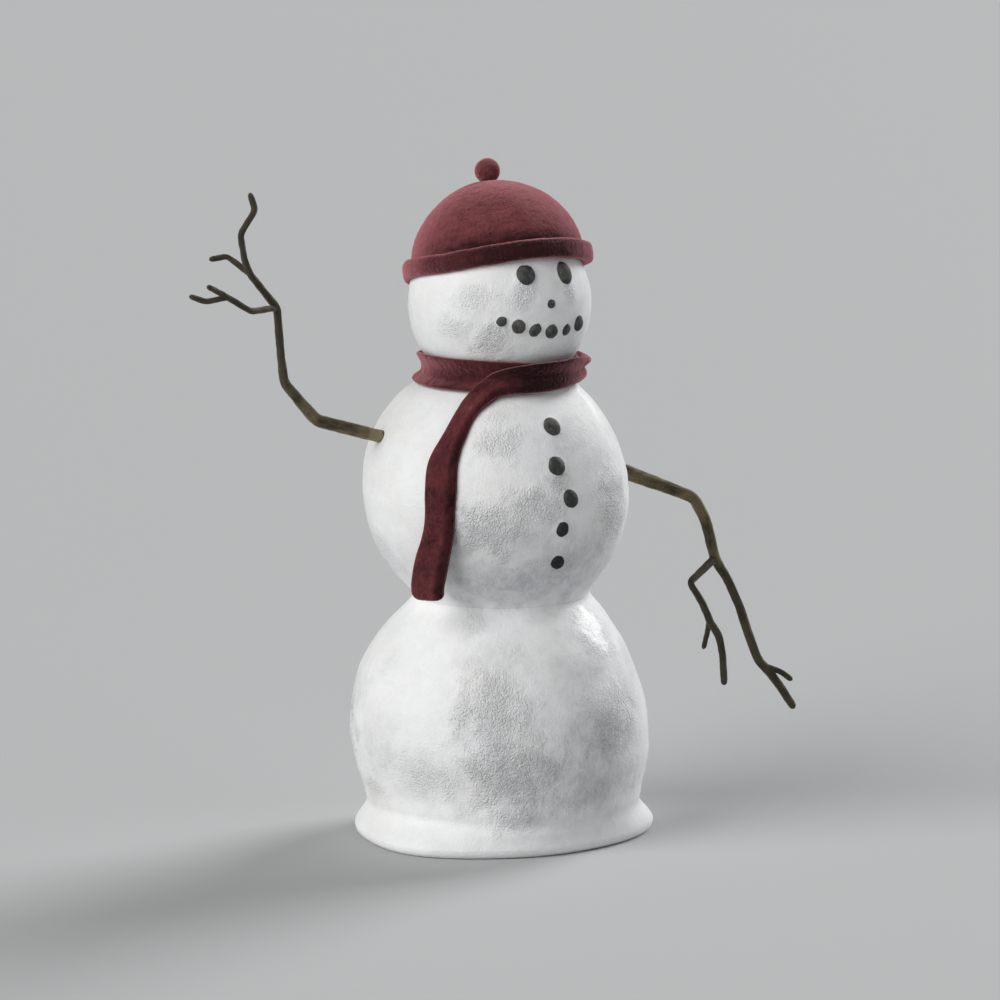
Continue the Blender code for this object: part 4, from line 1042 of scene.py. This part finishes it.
def scarf_radius(z, lift, pinch):
    """Radius of the strip's middle where it lies on the snow, or this far out where it lies on its own first
    turn, or hangs from the ball's widest ring. The neck pulls it in to the pinch radius."""
    stand_off = scarf_thickness(z) / 2 + SCARF_CLEAR + lift
    blend = SCARF_NECK_BLEND + lift / 2
    reach = MIDDLE_RADIUS + stand_off
    hanging = reach + SCARF_HANG_OUT * smooth_step(MIDDLE_HEIGHT - z, 0.0, SCARF_HANG_DROP)
    flare = SCARF_HEM_FLARE * smooth_step(z, SCARF_ON_BALL, SCARF_OFF_NECK)
    ball = ball_radius(z - MIDDLE_HEIGHT, reach, reach) + flare
    head_reach = HEAD_RADIUS + stand_off
    head = ball_radius(z - HEAD_HEIGHT, head_reach, head_reach)
    neck = soft_max(soft_max(ball, head, blend), pinch + lift, blend)
    return np.select([z < MIDDLE_HEIGHT, z < SCARF_UNDER_NECK], [hanging, ball], neck)


def scarf_surface(azimuth, z, out):
    """Points of the strip, out from its middle surface along that surface's normal."""
    gone = SCARF_EDGES[0][0] - azimuth
    second = smooth_step(gone, 360 - SCARF_RAMP, 360 - SCARF_LAST_RAMP)
    lift = (SCARF_NECK_THICK + SCARF_CLEAR) * second * smooth_step(z, SCARF_LIFT_START, SCARF_LIFT_END)
    covered = 1 - smooth_step(-azimuth, -SCARF_COVER_START, -SCARF_COVER_END)
    pinch = SCARF_PINCH_RADIUS - SCARF_PRESS * np.maximum(covered, second)
    rise = 0.002
    slope = (scarf_radius(z + rise, lift, pinch) - scarf_radius(z - rise, lift, pinch)) / (2 * rise)
    lean = np.hypot(1, slope)
    radius = scarf_radius(z, lift, pinch)
    return turned(azimuth, radius + out / lean, z - out * slope / lean) + centre_offset(z)


def through(stations, step):
    """A smooth row of values through the stations, with a place every step from one station to the next."""
    values = np.asarray(stations, dtype=float)
    padded = np.concatenate([values[:1] * 2 - values[1:2], values, values[-1:] * 2 - values[-2:-1]])
    rows = []
    for a, b, c, d in zip(padded, padded[1:], padded[2:], padded[3:]):
        for t in np.arange(0, 1, step):
            rows.append(0.5 * (2 * b + (c - a) * t + (2 * a - 5 * b + 4 * c - d) * t ** 2
                               + (3 * b - a - 3 * c + d) * t ** 3))
    return np.array(rows + [values[-1]])


def scarf_edges():
    """(upper azimuth, upper height, lower azimuth, lower height) evenly along the strip, closer at its end,
    and how far each row is from that end."""
    fine = through(SCARF_EDGES, 0.02)
    run = run_along(scarf_surface((fine[:, 0] + fine[:, 2]) / 2, (fine[:, 1] + fine[:, 3]) / 2, 0.0))
    steps = np.arange(0, run[-1] - SCARF_CORNER, SCARF_SPACING)
    steps = np.concatenate([steps, np.linspace(run[-1] - SCARF_CORNER, run[-1], SCARF_END_ROWS)])
    rows = resample(fine, run, steps)
    reach = 4                               # rows each way over which the edges are evened out
    weights = hump(np.arange(-reach, reach + 1), 0, reach / 2)
    padded = np.pad(rows, ((reach, reach), (0, 0)), mode="reflect", reflect_type="odd")
    rows = np.stack([np.convolve(column, weights / weights.sum(), "valid") for column in padded.T], axis=-1)
    return rows, run[-1] - steps


def scarf_section(count):
    """Across and out, as shares of half the width and of the thickness: a flat strip with rounded edges."""
    angle = turns(count, 2 * math.pi)
    return squared_off(np.cos(angle), SCARF_SQUARE[0]), 0.5 * squared_off(np.sin(angle), SCARF_SQUARE[1])


def scarf_gathers(azimuth, share, z):
    """How far the loop's cloth stands out where it is gathered: folds across it, and edges that curl."""
    fade = smooth_step(z, SCARF_UNDER_NECK, 1.0)
    place = np.stack([azimuth * 0.14, share * 0.9 + azimuth * 0.02, z * 0], axis=-1)
    folds = noise(place, 1.0, 113) + 0.7 * noise(place, (0.45, 0.8, 1.0), 115)
    folds *= settings("scarf").fold_depth * (0.5 + 0.5 * np.abs(2 * share - 1))
    total = np.zeros(azimuth.shape)
    for middle, half_width, strength in SCARF_FOLDS:
        total += strength * hump(azimuth, middle, half_width) * folds
    for middle, half_width, upper, lower in SCARF_CURLS:
        total += hump(azimuth, middle, half_width) * (upper * share ** 2 + lower * (1 - share) ** 3)
    return total * fade


def scarf_light_and_shade(azimuth, share, z, on_tail):
    """How much paler the cloth is than its creases alone make it, all of it painted light: painted shade by
    the tail's rolled edge, a painted highlight on the ridge beside it and on the tail's top, and the head's
    painted shadow at the front of the loop."""
    under_roll = 1 - smooth_step(share, *(SCARF_ROLL_SHARE * limit for limit in SCARF_LEE_LIMITS))
    ridge = hump(share, SCARF_RIDGE_MIDDLE * SCARF_ROLL_SHARE, SCARF_RIDGE_HALF)
    height, half_height, worn = SCARF_HIGHLIGHT
    middle, half_width, painted_shade = SCARF_SHADE
    # painted highlight on the tail's top and on its ridge, painted shade by its rolled edge
    tail = worn * hump(z, height, half_height) + SCARF_RIDGE * ridge - SCARF_LEE * under_roll
    # painted shadow of the head on the loop's front
    return on_tail * tail - painted_shade * hump(azimuth, middle, half_width) * smooth_step(z, SCARF_ON_BALL, 1.0)


def make_scarf(material):
    """One strip of felted cloth: a turn and a quarter round the neck, then down the front as a tail."""
    edges, from_end = scarf_edges()
    upper_azimuth, upper_z, lower_azimuth, lower_z = edges.T[..., None]
    from_end = from_end[:, None]
    across, out = scarf_section(SCARF_COLUMNS)
    in_corner = np.maximum(SCARF_CORNER - from_end, 0)
    inset = SCARF_CORNER - np.sqrt(np.maximum(SCARF_CORNER ** 2 - in_corner ** 2, 0))
    share = (across * (1 - inset / SCARF_HALF_WIDTH) + 1) / 2
    azimuth = lower_azimuth + (upper_azimuth - lower_azimuth) * share
    z = lower_z + (upper_z - lower_z) * share
    on_tail = smooth_step(-upper_azimuth, -SCARF_TURN[0], -SCARF_TURN[1])
    rolled_back = on_tail * SCARF_ROLL * np.maximum(1 - share / SCARF_ROLL_SHARE, 0) * (out > 0)
    middle, half_width, across_middle, across_half, thicker = SCARF_ROLLED
    roll = hump(azimuth, middle, half_width) * hump(share, across_middle, across_half)
    thick = 1 - SCARF_END_THIN * (1 - np.minimum(from_end / SCARF_END_TAPER, 1)) ** 2 + thicker * roll
    gathers = scarf_gathers(azimuth, share, z)
    points = scarf_surface(azimuth, z, out * scarf_thickness(z) * thick + gathers - rolled_back)
    run = run_along(points.mean(axis=1))
    place = np.broadcast_arrays(run[:, None], share * SCARF_WOOL_WIDTH, out * SCARF_WOOL_DEPTH)
    place = np.stack(place, axis=-1)
    relief = 0.4 * noise(place, (0.020, 0.013, 0.02), 121) + 0.25 * noise(place, (0.008, 0.006, 0.01), 123)
    relief += 0.4 * noise(place, 0.05, 125)
    points = raised(points, settings("scarf").crease_depth * relief)
    # painted light and shade on the tail and loop, and painted highlights on the thick roll and the folds'
    # crests
    relief += scarf_light_and_shade(azimuth, share, z, on_tail) + SCARF_ROLL_HIGHLIGHT * roll + gathers / SCARF_PROUD
    piece = tube_object("scarf_cloth", [points], felt_attributes(place, relief))
    dress(piece, material, "scarf_wool", "scarf")


# ---------------------------------------------------------------- sticks

def stick_path(bends):
    """Points and diameters along a stick, its bends rounded off, and the run to each."""
    bends = np.array(bends)
    path = [bends[0]]
    for before, bend, after in zip(bends, bends[1:], bends[2:]):
        reach = BEND_REACH * bend[3]
        near = min(reach / np.linalg.norm(bend[:3] - before[:3]), BEND_SHARE)
        far = min(reach / np.linalg.norm(after[:3] - bend[:3]), BEND_SHARE)
        first, last = bend + (before - bend) * near, bend + (after - bend) * far
        for t in np.linspace(0, 1, 5):
            path.append(first * (1 - t) ** 2 + bend * 2 * t * (1 - t) + last * t ** 2)
    path = np.array(path + [bends[-1]])
    run = run_along(path[:, :3])
    steps = np.linspace(0, run[-1], max(int(run[-1] / STICK_SPACING), 8))
    return resample(path, run, steps), steps


def stick_frames(centres):
    """Two directions across the stick at each point, carried along without twist."""
    ahead = np.gradient(centres, axis=0)
    ahead /= np.linalg.norm(ahead, axis=1, keepdims=True)
    side = np.cross(ahead[0], (0.0, 1.0, 0.2))
    sides = []
    for direction in ahead:
        side = side - direction * np.dot(side, direction)
        side = side / np.linalg.norm(side)
        sides.append(side)
    sides = np.array(sides)
    return sides, np.cross(ahead, sides)


def bare_wood(run, place, seed, bare):
    """1 where the bark is stripped between two runs along the stick, with ragged ends."""
    if not bare:
        return np.zeros(run.shape)
    start, end = bare
    ragged = run + 0.004 * noise(place, 0.006, seed + 9)
    return smooth_step(ragged, start, start + BARE_EDGE) * (1 - smooth_step(ragged, end - BARE_EDGE, end))


def stick_grid(bends, seed, bare):
    """A stick's points, the place of each on its bark, where it is bare and where it is young."""
    path, run = stick_path(bends)
    radius = path[:, 3] / 2
    to_tip = np.clip((run[-1] - run) / (radius[-1] * TIP_LENGTH), 0, 1)
    radius = radius * (TIP_SHARE + (1 - TIP_SHARE) * np.sqrt(1 - (1 - to_tip) ** 2))
    turn, step = np.meshgrid(turns(STICK_COLUMNS, 2 * math.pi), np.arange(len(run)))
    side, over = stick_frames(path[:, :3])
    unit = np.cos(turn)[..., None] * side[step] + np.sin(turn)[..., None] * over[step]
    run, radius, diameter, at_tip = run[step], radius[step], path[step, 3], (to_tip < 1)[step]
    place = np.stack([np.cos(turn) * diameter / 2, np.sin(turn) * diameter / 2, run * BARK_GRAIN], axis=-1)
    place += seed * 0.37
    stripped = bare_wood(run, place, seed, bare)
    ridges = 1 - 1.9 * np.abs(noise(place, 0.0065, seed)) + 0.4 * noise(place, 0.0032, seed + 1)
    knots = 0.06 * noise(np.stack([run, turn * 0.004, turn * 0], axis=-1), 0.022, seed + 2)
    height = settings("sticks").ridge_height * (ridges - 0.5) * (1 - 0.85 * stripped) - BARK_DEPTH * stripped
    height = np.where(at_tip, np.minimum(height, 0), height)
    knots = np.where(at_tip, np.minimum(knots, 0), knots)
    reach = radius * (1 + knots) + height * np.minimum(1, radius / RIDGED_RADIUS)
    young = 1 - smooth_step(diameter, *YOUNG_WOOD)
    return path[step, :3] + unit * reach[..., None], place, stripped, young


def make_stick(name, seed, material):
    """A stick and any smaller fork of it, with ridged bark."""
    sticks, bare = STICKS[name]
    made = [stick_grid(bends, seed + 20 * i, bare if i == 0 else None) for i, bends in enumerate(sticks)]
    grids, places, stripped, young = zip(*made)
    piece = tube_object(name + "_bark", grids, {
        "bark_place": np.concatenate([place.reshape(-1, 3) for place in places]),
        "bare": np.concatenate([share.ravel() for share in stripped]),
        "young": np.concatenate([share.ravel() for share in young])})
    dress(piece, material, "stick", name)


# ---------------------------------------------------------------- stage

def look_at(item, position, target):
    item.location = position
    item.rotation_euler = (target - position).to_track_quat("-Z", "Y").to_euler()


def camera_axes(azimuth, elevation):
    """Right, back and up of a camera that looks from this azimuth and elevation."""
    back = Vector((math.sin(azimuth) * math.cos(elevation), -math.cos(azimuth) * math.cos(elevation),
                   math.sin(elevation)))
    right = Vector((math.cos(azimuth), math.sin(azimuth), 0.0))
    return right, back, back.cross(right)


def make_floor(look):
    mesh = bpy.data.meshes.new("floor")
    corners = [(-FLOOR_REACH, -FLOOR_REACH, 0), (FLOOR_REACH, -FLOOR_REACH, 0), (FLOOR_REACH, FLOOR_REACH, 0),
               (-FLOOR_REACH, FLOOR_REACH, 0)]
    mesh.from_pydata(corners, [], [(0, 1, 2, 3)])
    floor = link_object("floor", mesh)
    made, tree, shader = new_material("plain floor")
    feed_all(tree, shader, {"Base Color": look.floor_colour, "Roughness": 0.9})
    mesh.materials.append(made)


def make_camera(look):
    """A long lens, aimed at the snowman's middle."""
    right, back, up = camera_axes(look.azimuth, look.elevation)
    target = up * AIM_UP - right * AIM_LEFT
    data = bpy.data.cameras.new("camera")
    data.sensor_width = 36.0
    data.angle = look.view_angle
    data.clip_end = FLOOR_REACH * 2
    camera = link_object("camera", data)
    look_at(camera, target + back * (VIEW_WIDTH / 2 / math.tan(look.view_angle / 2)), target)
    bpy.context.scene.camera = camera


def make_lights(look):
    """Even light from three directions, as soft as lamps that many degrees across, and a dim room."""
    right, back, up = camera_axes(look.azimuth, look.elevation)
    front = Vector((back.x, back.y, 0)).normalized()
    above = Vector((0, 0, 1))
    for name, to_right, to_front, to_above, softness, colour in LIGHTS:
        data = bpy.data.lights.new(name, "SUN")
        data.angle = math.radians(softness)
        data.energy = getattr(look, name + "_light")
        data.color = colour
        look_at(link_object(name, data), right * to_right + front * to_front + above * to_above, Vector())
    world = bpy.data.worlds.new("room")
    world.use_nodes = True
    feed_all(world.node_tree, world.node_tree.nodes["Background"],
             {"Color": (0.95, 0.97, 1.0), "Strength": look.sky_strength})
    bpy.context.scene.world = world
    bpy.context.scene.view_settings.view_transform = "Standard"


# ---------------------------------------------------------------- operators

class SNOWMAN_OT_snow(bpy.types.Operator):
    """Build the three balls of packed snow"""
    bl_idname = "snowman.snow"
    bl_label = "Snow balls"

    def execute(self, context):
        material = snow_material()
        snow_ball("snow_bottom_ball", 0.0, WAIST_HEIGHT, material)
        snow_ball("snow_middle_ball", WAIST_HEIGHT, NECK_HEIGHT, material)
        snow_ball("snow_head_ball", NECK_HEIGHT, HEAD_HEIGHT + HEAD_RADIUS - SNOW_TOP_GAP, material)
        return {"FINISHED"}


class SNOWMAN_OT_coal(bpy.types.Operator):
    """Press the coal face and buttons into the snow"""
    bl_idname = "snowman.coal"
    bl_label = "Coal"

    def execute(self, context):
        material = coal_material()
        for place, row in enumerate(COAL):
            pebble(row, 200 + 11 * place, material)
        return {"FINISHED"}


class SNOWMAN_OT_hat(bpy.types.Operator):
    """Put the wool hat on the head"""
    bl_idname = "snowman.hat"
    bl_label = "Hat"

    def execute(self, context):
        material = felt_material("hat felt", settings("hat"), (1.0, 1.0, 2.0), 1.0)
        hat_crown(material)
        hat_brim(material)
        hat_bobble(material)
        return {"FINISHED"}


class SNOWMAN_OT_scarf(bpy.types.Operator):
    """Wrap the scarf round the neck"""
    bl_idname = "snowman.scarf"
    bl_label = "Scarf"

    def execute(self, context):
        make_scarf(felt_material("scarf felt", settings("scarf"), (1.0, 1.6, 1.0), 0.5))
        return {"FINISHED"}


class SNOWMAN_OT_arms(bpy.types.Operator):
    """Push the stick arms into the middle ball"""
    bl_idname = "snowman.arms"
    bl_label = "Stick arms"

    def execute(self, context):
        material = bark_material()
        for place, name in enumerate(STICKS):
            make_stick(name, 300 + 40 * place, material)
        return {"FINISHED"}


class SNOWMAN_OT_stage(bpy.types.Operator):
    """Set up the floor, the lights and the camera"""
    bl_idname = "snowman.stage"
    bl_label = "Floor, lights and camera"

    def execute(self, context):
        look = settings("stage")
        make_floor(look)
        make_camera(look)
        make_lights(look)
        return {"FINISHED"}


OPERATORS = (SNOWMAN_OT_snow, SNOWMAN_OT_coal, SNOWMAN_OT_hat, SNOWMAN_OT_scarf, SNOWMAN_OT_arms,
             SNOWMAN_OT_stage)


class SNOWMAN_PT_parts(bpy.types.Panel):
    """Lists the snowman's settings and pieces"""
    bl_idname = "SNOWMAN_PT_parts"
    bl_label = "Snowman"
    bl_space_type = "VIEW_3D"
    bl_region_type = "UI"
    bl_category = "Snowman"

    def draw(self, context):
        for operator, group in zip(OPERATORS, SETTINGS):
            box = self.layout.box()
            for key in SETTINGS[group].__annotations__:
                box.prop(getattr(context.scene, "snowman_" + group), key)
            box.operator(operator.bl_idname)


def register():
    for kind in (*SETTINGS.values(), *OPERATORS, SNOWMAN_PT_parts):
        bpy.utils.register_class(kind)
    for group, kind in SETTINGS.items():
        setattr(bpy.types.Scene, "snowman_" + group, PointerProperty(type=kind))


def unregister():
    for group in SETTINGS:
        delattr(bpy.types.Scene, "snowman_" + group)
    for kind in (SNOWMAN_PT_parts, *reversed(OPERATORS), *SETTINGS.values()):
        bpy.utils.unregister_class(kind)


def main():
    register()
    bpy.ops.snowman.snow()
    bpy.ops.snowman.coal()
    bpy.ops.snowman.hat()
    bpy.ops.snowman.scarf()
    bpy.ops.snowman.arms()
    bpy.ops.snowman.stage()


if __name__ == "__main__":
    main()
